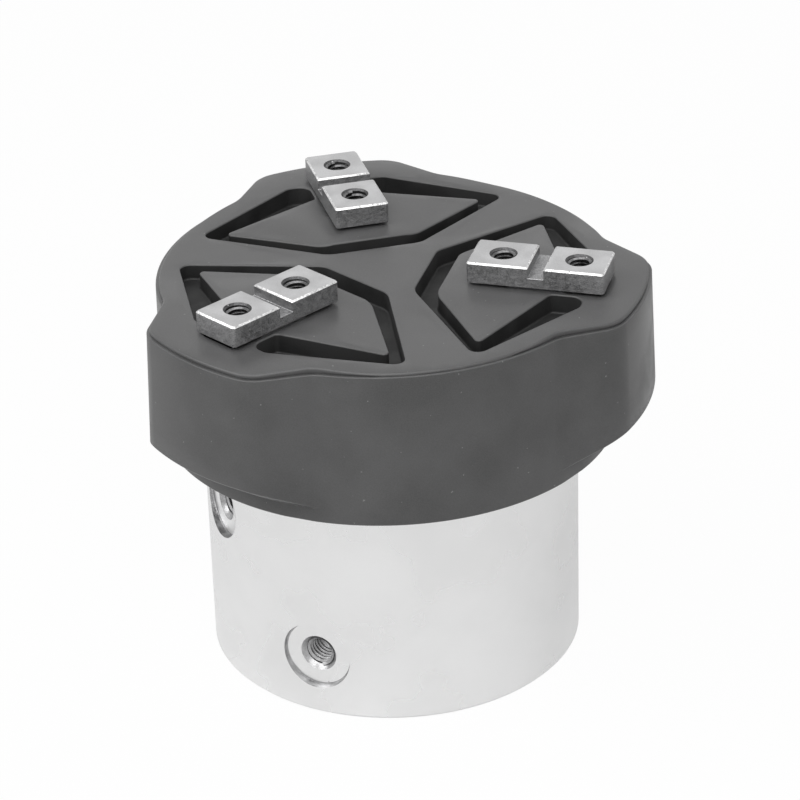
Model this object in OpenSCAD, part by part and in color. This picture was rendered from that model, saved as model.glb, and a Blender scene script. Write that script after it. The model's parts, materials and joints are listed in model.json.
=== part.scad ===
// Three jaw centric gripper: a pneumatic piston lifts a wedge hook, and the
// hook's three inclined ribs push the jaws outwards together.
// Origin: centre of the base face. +Z: towards the jaws. Jaw 1 lies along +X,
// jaws 2 and 3 at 120 and 240 degrees.

/* [Motion] */
// Travel of each jaw from closed to open
jaw_stroke = 6; // [3:0.5:7]
// Angle of the wedge ribs against the piston's axis
wedge_angle = 30; // [28:1:36]

/* [Cylinder] */
// Outer diameter of the cylinder body
body_d = 64; // [62:0.5:68]
// Diameter of the piston bore
bore_d = 45; // [42:0.5:46]
// Thickness of the bulkhead between the piston and the head
bulkhead_t = 11.5; // [10:0.5:16]
// Chamfer on the body's lower edge
body_chamfer = 0.6; // [0.3:0.1:1]
// Diameter of the piston rod
rod_d = 12; // [10:0.5:13]
// Height of the piston's sealing disc
piston_t = 8; // [7:0.5:12]
// Height of the rubber stop below the piston
low_bumper_h = 3.55; // [3.3:0.05:5]
// Height of the rubber stop above the piston
high_bumper_h = 2.35; // [1.5:0.05:4]
// Thickness of the end cap
cap_t = 5.5; // [4.5:0.5:8]
// Thickness of the snap ring
ring_t = 1.75; // [1.2:0.05:2]
// Depth of the snap ring below the base face
ring_depth = 1.4; // [1:0.1:2]

/* [Ports] */
// Core diameter of the port's M5 thread
port_d = 4.2; // [3.4:0.1:5]
// Length of the port's thread
port_thread_l = 4.4; // [3:0.1:5]
// Diameter of the round recess about a port
port_face_d = 12.2; // [9:0.1:13]
// Depth of that recess, measured on the port's axis
port_face_depth = 1.3; // [0.9:0.1:1.6]
// Direction of the lower port, which opens into the space below the piston
port_low_a = -99.5; // [-110:0.5:-90]
// Direction of the upper port, which opens into the space above the piston
port_high_a = -140.5; // [-145:0.5:-125]

/* [Base mount] */
// Pitch circle diameter of the holes in the base face
base_pcd = 54; // [52.5:0.5:56]
// Core diameter of the three M4 threads in the base face
base_hole_d = 3.3; // [2.5:0.1:3.5]
// Depth of those threads
base_hole_l = 8; // [5:0.5:9]
// Diameter of the two dowel bores in the base face
dowel_d = 4; // [3:0.5:4]
// Depth of the dowel bores
dowel_l = 6; // [4:0.5:8]

/* [Head] */
// How far the round part of the head stands out past the body
head_overhang = 6.8; // [6.5:0.1:8]
// How far the skirt's wall stands back from the round part above it
skirt_inset = 0.15; // [0.1:0.05:0.6]
// How far a lobe stands out past the round part
lobe_overhang = 6; // [5.8:0.1:7.2]
// Radius of a lobe's corner
lobe_corner_r = 7; // [6:0.1:7.5]
// Direction of a lobe's corner, from its jaw's axis
lobe_corner_a = 12.8; // [12:0.1:13.5]
// Radius of the hollow that blends a lobe into the round part
blend_r = 5.8; // [5:0.1:7]
// Direction of that hollow's centre, from the jaw's axis
blend_a = 30.4; // [30:0.1:32]
// How far the skirt hangs over the cylinder body
skirt_overlap = 3.5; // [2.5:0.1:6]
// Height of the skirt's round wall below the lobes' sloping underside
lobe_rise = 2.55; // [2:0.05:3]
// Slope of that underside against the base face
lobe_slope = 35; // [30:1:40]
// Wall thickness of the head's housing
wall_t = 2.6; // [2.2:0.1:2.8]
// Thickness of the cover's rim, which is all that shows of its edge
rim_t = 0.8; // [0.6:0.1:1.2]
// How far the cover's edge stands back from the housing's wall
rim_inset = 0.5; // [0.3:0.1:0.9]
// Thickness left under the cover's pockets
pocket_floor_t = 1.3; // [1:0.1:2]
// Depth of the cover's pockets
pocket_depth = 2.8; // [2:0.1:3.5]
// Least width of the rim outside a pocket's corner
pocket_rim = 3.75; // [3:0.05:5]
// Direction of that corner, from its jaw's axis
pocket_corner_a = 50.9; // [48:0.1:52]
// Rise of the cover's middle over its rim
hub_rise = 0.9; // [0.4:0.1:1.4]

/* [Jaws] */
// Distance from the gripper's axis to the inner end of a closed jaw
jaw_x0 = 15.1; // [14.6:0.1:15.6]
// Length of a jaw plate
jaw_l = 23.1; // [22.8:0.1:23.6]
// Width of a jaw plate
jaw_w = 9.3; // [8.6:0.1:10]
// Height of a jaw plate
jaw_h = 3.4; // [3:0.1:5]
// Width of the cross slot in a jaw plate
key_w = 2.7; // [2.2:0.1:2.8]
// Depth of the cross slot
key_depth = 1.9; // [1.4:0.1:2.1]
// Chamfer on a jaw plate's upper edges
jaw_chamfer = 0.35; // [0.1:0.05:0.5]
// Core diameter of the M4 threads in a jaw plate
finger_hole_d = 3.3; // [2.5:0.1:3.4]
// Distance between a jaw plate's two threads
finger_pitch = 12.8; // [12.6:0.1:13]
// Height of the dark pads between a jaw plate and the cover
pad_h = 1.2; // [0.8:0.1:2]
// How far those pads stand back from the plate's edges
pad_inset = 1.15; // [0.6:0.05:1.4]

/* [Hidden] */
$fn = 64;

jaw_count = 3;
jaw_step = 360 / jaw_count;
screw_a = jaw_step / 2;

// Clearances
fit_gap = 0.05;    // between pieces that are fixed to each other
run_gap = 0.05;    // rod in bush
slide_gap = 0.1;   // flat guides
seal_gap = 0.15;   // seal and guide ring in the bore
lift_gap = 0.2;    // jaw set over the cover, leg under the cover
eps = 0.01;

// Radii of the head
head_r = body_d / 2 + head_overhang;
lobe_r = head_r + lobe_overhang;
cavity_r = head_r - wall_t - skirt_inset;

// Heights, counted up from the base face
travel = jaw_stroke / tan(wedge_angle);
ring_groove_t = ring_t + 2 * fit_gap;
cap_z = ring_depth + ring_groove_t;
chamber_z0 = cap_z + cap_t;
piston_z = chamber_z0 + seal_gap + low_bumper_h;
piston_top = piston_z + piston_t;
top_clear = 0.35;
bumper_r0 = 10.5;
bumper_r1 = 15;
nut_r = 7.4;
nut_h = 3;
spigot_r = 4;          // the rod's ends, in the piston and in the hook
rod_seat_r = 9;        // the piston's boss under the rod's shoulder
rod_seat_h = 2.2;
chamber_z1 = piston_top + high_bumper_h + travel + top_clear;
body_h = chamber_z1 + bulkhead_t;
rod_seal_z = chamber_z1 + 1.5;
bush_z = rod_seal_z + 3;
bush_t = 2;
port_low_z = chamber_z0 + 2.3;
port_high_z = chamber_z1 - 1.5;

// Wedge hook, closed position
hook_gap = 0.8;
hook_h = 8;
hook_z0 = body_h + hook_gap;
hook_z1 = hook_z0 + hook_h;
wedge_x = 18;          // rib's middle plane at the hook's foot
rib_t = 2;
rib_w = 7;
stem_w = 4;
lip_t = 1.9;           // the base jaw's lips behind the rib
leg_wall = 3.2;        // the base jaw's leg outside the rib
function wedge_line(z) = wedge_x - (z - hook_z0) * tan(wedge_angle);
function leg_face(z) = wedge_line(z) + (rib_t / 2 + slide_gap + leg_wall) / cos(wedge_angle);

// Guide and base jaws
leg_z0 = body_h + hook_gap + slide_gap;
leg_z1 = hook_z1 + travel + lift_gap;
guide_z1 = leg_z1 + lift_gap;
guide_lip_t = 3.5;
foot_t = 4;
foot_z1 = guide_z1 - guide_lip_t - slide_gap;
foot_z0 = foot_z1 - foot_t;
foot_w = 13;
foot_x0 = 13;
foot_x1 = 35;
leg_w = 10.8;
leg_back = 20.9;
neck_w = 7;
guide_bore_r = norm([leg_face(foot_z1) + jaw_stroke + slide_gap, leg_w / 2]);
guide_r = cavity_r - 1.85;
arm_w = 17.2;
arm_t = 4;             // floor of an arm under the foot
arm_r = lobe_r - wall_t - 0.6;
arm_drop = 0.3;        // the arms end this far below the guide's upper face

// Head
cover_z0 = guide_z1 + slide_gap;
pocket_z = cover_z0 + pocket_floor_t;
top_z = pocket_z + pocket_depth;
parting_z = top_z - rim_t;
skirt_z = body_h - skirt_overlap;
dome_r = 36;           // the flat cone ends here
// Height of the lobes' underside at the distance r from the axis
function under_z(r) = skirt_z + lobe_rise + (r - head_r + skirt_inset) * tan(lobe_slope);

// Jaw set
jaw_x1 = jaw_x0 + jaw_l;
jaw_mid = jaw_x0 + jaw_l / 2 + 0.1;
pad_z = top_z + lift_gap;
plate_z = pad_z + pad_h;
plate_top = plate_z + jaw_h;
finger_x = [jaw_mid - finger_pitch / 2, jaw_mid + finger_pitch / 2];
jaw_screw_x = [for (s = [-1, 1]) jaw_mid + s * 3.07];
neck_x0 = jaw_screw_x[0] - 1.76;
neck_x1 = jaw_screw_x[1] + 1.7;
slot_x0 = neck_x0 - lift_gap;
slot_x1 = neck_x1 + jaw_stroke + lift_gap;
slot_w = neck_w + 2 * lift_gap;

// Screws: shank radius, head radius, head height, socket radius
m5 = [2.5, 4.25, 5, 2.3];
m25 = [1.25, 2.25, 2.2, 1.15];
guide_screw_pcr = (body_d / 2 + head_r) / 2 - 8.9;
guide_screw_seat = body_h + 10;
guide_screw_l = 18;
hook_screw_l = 10;
spigot_l = 3.5;          // the rod's end in the hook
hook_screw_sink = 2.9;  // the hook screw's head sits this deep in the hook
cover_screw_pcr = (body_d / 2 + head_r) / 2;
jaw_screw_sink = m25[2] + 0.2;  // the jaw screws' heads sit this deep in the foot
jaw_screw_grip = 2.2;    // length of the jaw screws' thread in the plate
cover_screw_seat = skirt_z + m25[2] + 0.7;
ear_r = 2.2;
boss_r = 2.6;

aluminium = "#d4d6d8";
plastic = "#3b3c3e";
steel = "#a9abae";
dark_steel = "#5b5d61";
rubber = "#1f1f21";
bronze = "#a8834a";

// ---- helpers ----------------------------------------------------------

// Repeats its child once for each jaw.
module each_jaw(offset = 0) {
    for (n = [0:jaw_count - 1]) rotate(n * jaw_step + offset) children();
}

// Extrudes an outline drawn in X and Z to the width w about Y = 0.
module across(w) {
    rotate([90, 0, 0]) linear_extrude(height = w, center = true) children();
}

// A tube from z0 to z1.
module ring(r_in, r_out, z0, z1) {
    rotate_extrude()
        translate([r_in, z0]) square([r_out - r_in, z1 - z0]);
}

// A plain hole along Z from z0 to z1, with a chamfer c wide at its z0 end.
module hole_up(r, z0, z1, c = 0) {
    rotate_extrude()
        polygon([[0, z0 - 1], [r + c, z0 - 1], [r + c, z0], [r, z0 + c], [r, z1], [0, z1]]);
}

// Socket head screw: seat at Z = 0, head above it, shank of length l below.
module socket_screw(size, l) {
    difference() {
        union() {
            translate([0, 0, -l]) cylinder(r = size[0] - fit_gap, h = l + eps);
            cylinder(r = size[1], h = size[2]);
        }
        translate([0, 0, size[2] * 0.45]) cylinder(r = size[3], h = size[2], $fn = 6);
    }
}

function unit(v) = v / norm(v);
function turned(p, a) = [p[0] * cos(a) - p[1] * sin(a), p[0] * sin(a) + p[1] * cos(a)];

// The outline with the corner list [x, y, r] rounded by tangent arcs.
function corner_arc(a, b, c, r, n = 6) =
    let (u = unit(a - b), v = unit(c - b),
         half = acos(u * v) / 2,
         centre = b + unit(u + v) * r / sin(half),
         p = b + u * r / tan(half) - centre,
         q = b + v * r / tan(half) - centre,
         sweep = 180 - 2 * half,
         turn = (p[0] * q[1] - p[1] * q[0]) < 0 ? -1 : 1)
    [for (i = [0:n]) let (t = turn * sweep * i / n)
        centre + turned(p, t)];
function xy(p) = [p[0], p[1]];
function rounded(list) =
    [for (i = [0:len(list) - 1])
        let (m = len(list), b = list[i])
        each corner_arc(xy(list[(i + m - 1) % m]), xy(b), xy(list[(i + 1) % m]), b[2])];

// Corners of one side followed by the same corners of the mirrored side.
function both_sides(list) =
    concat(list, [for (i = [len(list) - 1:-1:0]) [list[i][0], -list[i][1], list[i][2]]]);

// ---- head outline -----------------------------------------------------

corner_c = (lobe_r - lobe_corner_r) * [cos(lobe_corner_a), sin(lobe_corner_a)];
blend_c = (head_r + blend_r) * [cos(blend_a), sin(blend_a)];
flank_v = blend_c - corner_c;
flank_c = (lobe_corner_r + blend_r) / norm(flank_v);
flank_u = unit(flank_v);
// Outward normal of the straight flank between the corner and the hollow
flank_n = flank_c * flank_u + sqrt(1 - flank_c * flank_c) * [flank_u[1], -flank_u[0]];
flank_a = atan2(flank_n[1], flank_n[0]);

// Points of an arc after its first one.
function arc(c, r, a0, a1, n = 8) =
    [for (i = [1:n]) let (a = a0 + (a1 - a0) * i / n) c + r * [cos(a), sin(a)]];

// Half a lobe from its jaw's axis to the middle of the round part, standing back by d.
function half_lobe(d) = concat(
    [[lobe_r - d, 0]],
    arc([0, 0], lobe_r - d, 0, lobe_corner_a, 4),
    arc(corner_c, lobe_corner_r - d, lobe_corner_a, flank_a),
    arc(blend_c, blend_r + d, flank_a + 180, blend_a + 180),
    arc([0, 0], head_r - d, blend_a, screw_a));

// A whole lobe: the mirrored half first, each end point once.
function lobe(d) =
    let (half = half_lobe(d))
    concat([for (i = [len(half) - 2:-1:1]) [half[i][0], -half[i][1]]], half);

// The head's outline with its three lobes, standing back by d.
module head_outline(d = 0) {
    polygon([for (n = [0:jaw_count - 1]) for (p = lobe(d)) turned(p, n * jaw_step)]);
}

// ---- cover pockets ----------------------------------------------------

pocket_corner = (head_r - pocket_rim) * [cos(pocket_corner_a), sin(pocket_corner_a)];
pocket_end = lobe_r - 9.1;
leaf_neck = 4.9;       // half the width of the leaf's neck

// One side of the C-shaped pocket that runs round a jaw: [x, y, corner radius]
pocket_outer = [
    [7, 7.7, 4], [pocket_corner[0], pocket_corner[1], 1.7],
    [pocket_end, leaf_neck + 3.6, 2.4], [pocket_end, leaf_neck, 2.2]];
pocket_inner = [
    [pocket_end - 5.6, leaf_neck, 1], [pocket_corner[0] - 0.5, pocket_corner[1] - 4.2, 0.8],
    [10.9, 7.9, 5]];

// The pocket's opening as one closed loop.
module pocket_outline() {
    polygon(rounded(both_sides(concat(pocket_outer, pocket_inner))));
}

// The leaf that the pocket leaves standing under the jaw, out to the lobe's end.
module leaf_outline() {
    polygon(rounded(both_sides(concat([[lobe_r, leaf_neck, 1]], pocket_inner))));
}

// ---- cylinder ---------------------------------------------------------

// Tools that cut one port: recess, chamfer, thread core and air way.
module port_cut(a, z) {
    face_x = body_d / 2 - port_face_depth;
    rotate(a) translate([0, 0, z]) rotate([0, 90, 0]) {
        translate([0, 0, face_x]) cylinder(d = port_face_d, h = 10);
        translate([0, 0, face_x - 0.7]) cylinder(r1 = port_d / 2, r2 = port_d / 2 + 0.7 + eps, h = 0.7 + eps);
        translate([0, 0, face_x - port_thread_l - 0.7]) cylinder(d = port_d, h = port_thread_l + 0.8);
        translate([0, 0, bore_d / 2 - 2]) cylinder(r = 1.25, h = 10);
    }
}

module cylinder_body() {
    r = body_d / 2;
    bore_r = bore_d / 2;
    groove_r = bore_r + 1.25;
    bush_r = rod_d / 2 + bush_t;
    color(aluminium) difference() {
        rotate_extrude() polygon([
            [bore_r + 0.5, 0], [r - body_chamfer, 0], [r, body_chamfer], [r, body_h],
            [bush_r, body_h], [bush_r, bush_z], [bush_r + 1, bush_z], [bush_r + 1, rod_seal_z],
            [rod_d / 2 + 0.15, rod_seal_z], [rod_d / 2 + 0.15, chamber_z1],
            [bore_r, chamber_z1], [bore_r, ring_depth + ring_groove_t],
            [groove_r, ring_depth + ring_groove_t], [groove_r, ring_depth],
            [bore_r, ring_depth], [bore_r, 0.5]]);
        port_cut(port_low_a, port_low_z);
        port_cut(port_high_a, port_high_z);
        each_jaw(screw_a) translate([base_pcd / 2, 0, 0])
            hole_up(base_hole_d / 2, 0, base_hole_l, 0.4);
        for (a = [0, jaw_step]) rotate(a) translate([base_pcd / 2, 0, 0])
            hole_up(dowel_d / 2, 0, dowel_l, 0.3);
        each_jaw(screw_a) translate([guide_screw_pcr, 0, guide_screw_seat - guide_screw_l - 1])
            cylinder(r = m5[0], h = 30);
    }
}

module end_cap() {
    r = bore_d / 2 - fit_gap;
    z1 = chamber_z0;
    groove_z = cap_z + cap_t / 2 - 1.2;
    color(aluminium) rotate_extrude() polygon([
        [0, cap_z + 1], [13, cap_z + 1], [14, cap_z], [r - 0.4, cap_z], [r, cap_z + 0.4],
        [r, groove_z], [r - 1.85, groove_z], [r - 1.85, groove_z + 2.4], [r, groove_z + 2.4],
        [r, z1 - 0.4], [r - 0.4, z1], [0, z1]]);
}

module end_cap_seal() {
    color(rubber) rotate_extrude()
        translate([bore_d / 2 - fit_gap - 0.94, cap_z + cap_t / 2]) circle(r = 0.88);
}

// Internal retaining ring with its gap and two eyes.
module snap_ring() {
    r = bore_d / 2 + 1.15;
    band = 3.2;
    eye_a = 14;
    z = ring_depth + fit_gap;
    color(dark_steel) translate([0, 0, z]) difference() {
        union() {
            difference() {
                cylinder(r = r, h = ring_t);
                translate([0, 0, -1]) cylinder(r = r - band, h = ring_t + 2);
                linear_extrude(height = 10, center = true)
                    polygon([[0, 0], bore_d * [cos(eye_a), sin(eye_a)], [2 * bore_d, 0], bore_d * [cos(eye_a), -sin(eye_a)]]);
            }
            for (s = [-1, 1]) rotate(s * (eye_a + 5)) translate([r - band - 0.8, 0, 0])
                cylinder(r = 2.9, h = ring_t);
        }
        for (s = [-1, 1]) rotate(s * (eye_a + 5)) translate([r - band - 0.8, 0, -1])
            cylinder(r = 1.2, h = ring_t + 2);
    }
}

module rod_bush() {
    color(bronze) ring(rod_d / 2 + run_gap, rod_d / 2 + bush_t - fit_gap, bush_z + 0.1, body_h - 0.1);
}

// Lip seal between the bulkhead's lower edge and the bush.
module rod_seal() {
    r = rod_d / 2;
    z0 = rod_seal_z + 0.1;
    color(rubber) rotate_extrude() polygon([
        [r + 0.4, z0 + 2.8], [r + 0.1, z0 + 0.4], [r + 0.5, z0], [r + 1, z0 + 0.9],
        [r + 2, z0 + 0.9], [r + 2.5, z0], [r + 2.9, z0 + 0.4], [r + 2.8, z0 + 2.8]]);
}

// ---- guide ------------------------------------------------------------

// Channels that one jaw needs in the guide.
module jaw_channels() {
    leg_end = leg_back + jaw_stroke + 3 * slide_gap;
    leg_cut_w = leg_w + 2 * slide_gap;
    foot_cut_w = foot_w + 2 * slide_gap;
    neck_cut_w = neck_w + 2 * slide_gap;
    translate([0, -leg_cut_w / 2, body_h - 1]) cube([leg_end, leg_cut_w, foot_z0 + 1.5 - body_h]);
    translate([0, -foot_cut_w / 2, foot_z0 - slide_gap])
        cube([lobe_r, foot_cut_w, foot_t + 2 * slide_gap]);
    translate([0, -neck_cut_w / 2, foot_z1]) cube([lobe_r, neck_cut_w, 20]);
    translate([jaw_screw_x[1], 0, body_h - 1]) cylinder(r = m25[1] + 0.7, h = foot_z0 - body_h + 1.5);
}

// Round core of the guide with one arm into each lobe.
module guide_blank() {
    translate([0, 0, body_h]) cylinder(r = guide_r, h = guide_z1 - body_h);
    intersection() {
        translate([0, 0, foot_z0 - arm_t]) cylinder(r = arm_r, h = guide_z1 - arm_drop - foot_z0 + arm_t);
        each_jaw() translate([0, -arm_w / 2, body_h]) cube([lobe_r, arm_w, guide_z1 - body_h]);
    }
}

module guide_body() {
    color(steel) difference() {
        guide_blank();
        translate([0, 0, body_h - 1]) cylinder(r = guide_bore_r, h = guide_z1 - body_h + 2);
        each_jaw() jaw_channels();
        each_jaw(screw_a) {
            translate([guide_screw_pcr, 0, body_h - 1]) cylinder(r = m5[0] + 0.25, h = 30);
            translate([guide_screw_pcr, 0, guide_screw_seat]) cylinder(r = m5[1] + 0.25, h = 30);
            translate([cover_screw_pcr, 0, body_h - 1]) cylinder(r = boss_r + lift_gap, h = 30);
        }
    }
}

module guide_screws() {
    color(dark_steel) each_jaw(screw_a)
        translate([guide_screw_pcr, 0, guide_screw_seat]) socket_screw(m5, guide_screw_l);
}

// ---- head -------------------------------------------------------------

// The housing without its cavity: round skirt, and lobes with a conical underside.
module housing_blank() {
    r0 = head_r - skirt_inset - 1;
    r1 = lobe_r + 2;
    translate([0, 0, skirt_z]) cylinder(r = head_r - skirt_inset, h = lobe_rise + 3);
    intersection() {
        translate([0, 0, skirt_z]) linear_extrude(height = parting_z - skirt_z) head_outline();
        rotate_extrude() polygon([
            [0, under_z(r0)], [r0, under_z(r0)], [r1, under_z(r1)], [r1, top_z], [0, top_z]]);
    }
}

module head_housing() {
    floor_z = under_z(lobe_r - wall_t) + wall_t / cos(lobe_slope);
    opening_r = body_d / 2 + 0.15;
    color(plastic) difference() {
        housing_blank();
        difference() {
            union() {
                translate([0, 0, skirt_z - 1]) cylinder(r = opening_r, h = skirt_overlap + 2);
                translate([0, 0, body_h]) cylinder(r = cavity_r, h = floor_z - body_h + 1);
                translate([0, 0, floor_z])
                    linear_extrude(height = parting_z - floor_z + 1) head_outline(wall_t);
            }
            each_jaw(screw_a) translate([cover_screw_pcr, 0, body_h])
                cylinder(r = boss_r, h = cover_z0 - body_h);
        }
        each_jaw(screw_a) translate([cover_screw_pcr, 0, 0]) {
            translate([0, 0, skirt_z - 1]) cylinder(r = m25[0] + 0.1, h = parting_z);
            translate([0, 0, skirt_z - 1]) cylinder(r = m25[1] + 0.15, h = cover_screw_seat - skirt_z + 1);
            translate([0, 0, cover_z0]) cylinder(r = ear_r + 0.1, h = 20);
        }
    }
}

// Very flat cone that lifts the cover's middle over its rim.
module cover_dome() {
    rotate_extrude() polygon([[0, top_z - rim_t], [dome_r, top_z - rim_t], [dome_r, top_z], [0, top_z + hub_rise]]);
}

module top_cover() {
    color(plastic) difference() {
        union() {
            translate([0, 0, parting_z]) linear_extrude(height = rim_t) head_outline(rim_inset);
            translate([0, 0, cover_z0])
                linear_extrude(height = parting_z - cover_z0 + eps) head_outline(wall_t + lift_gap);
            each_jaw(screw_a) translate([cover_screw_pcr, 0, cover_z0])
                cylinder(r = ear_r, h = parting_z - cover_z0 + eps);
            cover_dome();
        }
        each_jaw() {
            translate([0, 0, pocket_z]) linear_extrude(height = 10) pocket_outline();
            translate([0, 0, top_z]) linear_extrude(height = 10) leaf_outline();
            translate([slot_x0, -slot_w / 2, cover_z0 - 1]) cube([slot_x1 - slot_x0, slot_w, 20]);
        }
        each_jaw(screw_a) translate([cover_screw_pcr, 0, cover_z0 - 1]) cylinder(r = m25[0], h = 3.6);
    }
}

module cover_screws() {
    color(dark_steel) each_jaw(screw_a)
        translate([cover_screw_pcr, 0, cover_screw_seat]) rotate([180, 0, 0])
            socket_screw(m25, cover_z0 + 2.4 - cover_screw_seat);
}

// ---- drive ------------------------------------------------------------

module piston() {
    r = bore_d / 2 - 0.35;
    seal_z = piston_z + 1.2;
    guide_z = piston_top - 3.4;
    color(aluminium) rotate_extrude() polygon([
        [spigot_r + fit_gap, piston_z], [r - 0.5, piston_z], [r, piston_z + 0.5],
        [r, seal_z], [r - 2.5, seal_z], [r - 2.5, seal_z + 2.2], [r, seal_z + 2.2],
        [r, guide_z], [r - 1.5, guide_z], [r - 1.5, guide_z + 2.2], [r, guide_z + 2.2],
        [r, piston_top - 0.5], [r - 0.5, piston_top], [rod_seat_r, piston_top],
        [rod_seat_r, piston_top + rod_seat_h], [spigot_r + fit_gap, piston_top + rod_seat_h]]);
}

module piston_seal() {
    r = bore_d / 2 - seal_gap;
    z = piston_z + 1.3;
    color(rubber) rotate_extrude() polygon([
        [r - 2.6, z], [r - 0.5, z], [r, z + 0.5], [r - 0.3, z + 1], [r, z + 1.5], [r - 0.5, z + 2], [r - 2.6, z + 2]]);
}

module piston_guide_ring() {
    r = bore_d / 2 - seal_gap;
    z = piston_top - 3.3;
    color("#e6e2d4") ring(r - 1.6, r, z, z + 2);
}

module piston_bumpers() {
    color(rubber) {
        ring(bumper_r0, bumper_r1, piston_z - low_bumper_h, piston_z);
        ring(bumper_r0, bumper_r1, piston_top, piston_top + high_bumper_h);
    }
}

module piston_nut() {
    color(dark_steel) difference() {
        translate([0, 0, piston_z - nut_h]) cylinder(r = nut_r, h = nut_h, $fn = 6);
        translate([0, 0, piston_z - nut_h - 1]) cylinder(r = spigot_r + fit_gap, h = nut_h + 2);
    }
}

module piston_rod() {
    r = rod_d / 2;
    spigot_z = hook_z0 + spigot_l;
    foot_z = piston_z - nut_h - 0.2;
    color(steel) difference() {
        rotate_extrude() polygon([
            [0, foot_z], [spigot_r - 0.4, foot_z], [spigot_r, foot_z + 0.4], [spigot_r, piston_top + rod_seat_h],
            [r, piston_top + rod_seat_h], [r, hook_z0], [spigot_r, hook_z0], [spigot_r, spigot_z], [0, spigot_z]]);
        translate([0, 0, hook_z0 - 7]) cylinder(r = m5[0], h = 20);
    }
}

// Outline in X and Z of a band that follows the wedge line, from a to b square to it.
module wedge_band(a, b, z0, z1) {
    polygon([
        [wedge_line(z0) + a / cos(wedge_angle), z0], [wedge_line(z0) + b / cos(wedge_angle), z0],
        [wedge_line(z1) + b / cos(wedge_angle), z1], [wedge_line(z1) + a / cos(wedge_angle), z1]]);
}

module wedge_hook() {
    core = (rib_t / 2 + lip_t + 2 * slide_gap + 0.3) / cos(wedge_angle);
    head_r_gap = m5[1] + 0.2;
    seat_z = hook_z1 - hook_screw_sink;
    bore_r = spigot_r + fit_gap;
    bore_z1 = hook_z0 + spigot_l + 0.1;
    color(steel) difference() {
        union() {
            rotate_extrude() polygon([
                [bore_r, hook_z0], [wedge_line(hook_z0) - core, hook_z0],
                [wedge_line(hook_z1) - core, hook_z1], [head_r_gap, hook_z1], [head_r_gap, seat_z],
                [m5[0] + 0.1, seat_z], [m5[0] + 0.1, bore_z1], [bore_r, bore_z1]]);
            each_jaw() {
                across(rib_w) wedge_band(-rib_t / 2, rib_t / 2, hook_z0, hook_z1);
                across(stem_w) wedge_band(-rib_t / 2 - 4, 0, hook_z0, hook_z1);
            }
        }
        translate([0, 0, hook_z0 - 1]) cylinder(r = bore_r, h = bore_z1 - hook_z0 + 1);
    }
}

// Low head screw that holds the hook on the rod.
module hook_screw() {
    low_m5 = [m5[0], m5[1], hook_screw_sink - 0.2, m5[3]];
    color(dark_steel) translate([0, 0, hook_z1 - hook_screw_sink]) socket_screw(low_m5, hook_screw_l);
}

// ---- jaws -------------------------------------------------------------

// Places a piece of jaw n, drawn along +X.
module at_jaw(n) {
    rotate((n - 1) * jaw_step) children();
}

// Foot in the guide, neck up through the cover and leg behind the wedge rib.
module base_jaw_shape() {
    lip = (rib_t / 2 + slide_gap + lip_t) / cos(wedge_angle);
    difference() {
        union() {
            across(leg_w) polygon([
                [wedge_line(leg_z0) - lip, leg_z0], [leg_back, leg_z0], [leg_back, foot_z1],
                [leg_face(foot_z1), foot_z1], [leg_face(leg_z1), leg_z1],
                [wedge_line(leg_z1) - lip, leg_z1]]);
            translate([foot_x0, -foot_w / 2, foot_z0]) cube([foot_x1 - foot_x0, foot_w, foot_t]);
            translate([foot_x0, -neck_w / 2, foot_z1 - 1])
                cube([neck_x1 - foot_x0, neck_w, leg_z1 - foot_z1 + 1]);
            translate([neck_x0, -neck_w / 2, foot_z1 - 1])
                cube([neck_x1 - neck_x0, neck_w, plate_z - foot_z1 + 1]);
        }
        across(rib_w + 2 * slide_gap)
            wedge_band(-rib_t / 2 - slide_gap, rib_t / 2 + slide_gap, leg_z0 - 1, leg_z1 + 1);
        across(stem_w + 2 * slide_gap)
            wedge_band(-rib_t / 2 - lip_t - 2, 0, leg_z0 - 1, leg_z1 + 1);
        for (x = jaw_screw_x) translate([x, 0, foot_z0 - 1]) {
            cylinder(r = m25[0], h = 30);
            cylinder(r = m25[1] + 0.1, h = jaw_screw_sink + 1);
        }
    }
}

module base_jaw(n) {
    color(steel) at_jaw(n) base_jaw_shape();
}

// Dark pads under a jaw plate, before and behind the base jaw's neck.
module jaw_pad(n) {
    color(dark_steel) at_jaw(n) difference() {
        translate([jaw_x0 + pad_inset, -jaw_w / 2 + pad_inset, pad_z])
            cube([jaw_l - 2 * pad_inset, jaw_w - 2 * pad_inset, pad_h]);
        translate([neck_x0 - fit_gap, -jaw_w, pad_z - 1])
            cube([neck_x1 - neck_x0 + 2 * fit_gap, 2 * jaw_w, pad_h + 2]);
        for (x = finger_x) translate([x, 0, pad_z - 1]) cylinder(d = finger_hole_d + 0.8, h = pad_h + 2);
    }
}

// Block from x0 to x1 and z0 to z1 with a chamfer c on its four upper edges.
module chamfered_block(x0, x1, w, z0, z1, c) {
    intersection() {
        across(w) polygon([[x0, z0], [x1, z0], [x1, z1 - c], [x1 - c, z1], [x0 + c, z1], [x0, z1 - c]]);
        translate([x0, 0, 0]) rotate([90, 0, 90]) linear_extrude(height = x1 - x0)
            polygon([[-w / 2, z0], [w / 2, z0], [w / 2, z1 - c], [w / 2 - c, z1], [-w / 2 + c, z1], [-w / 2, z1 - c]]);
    }
}

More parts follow.
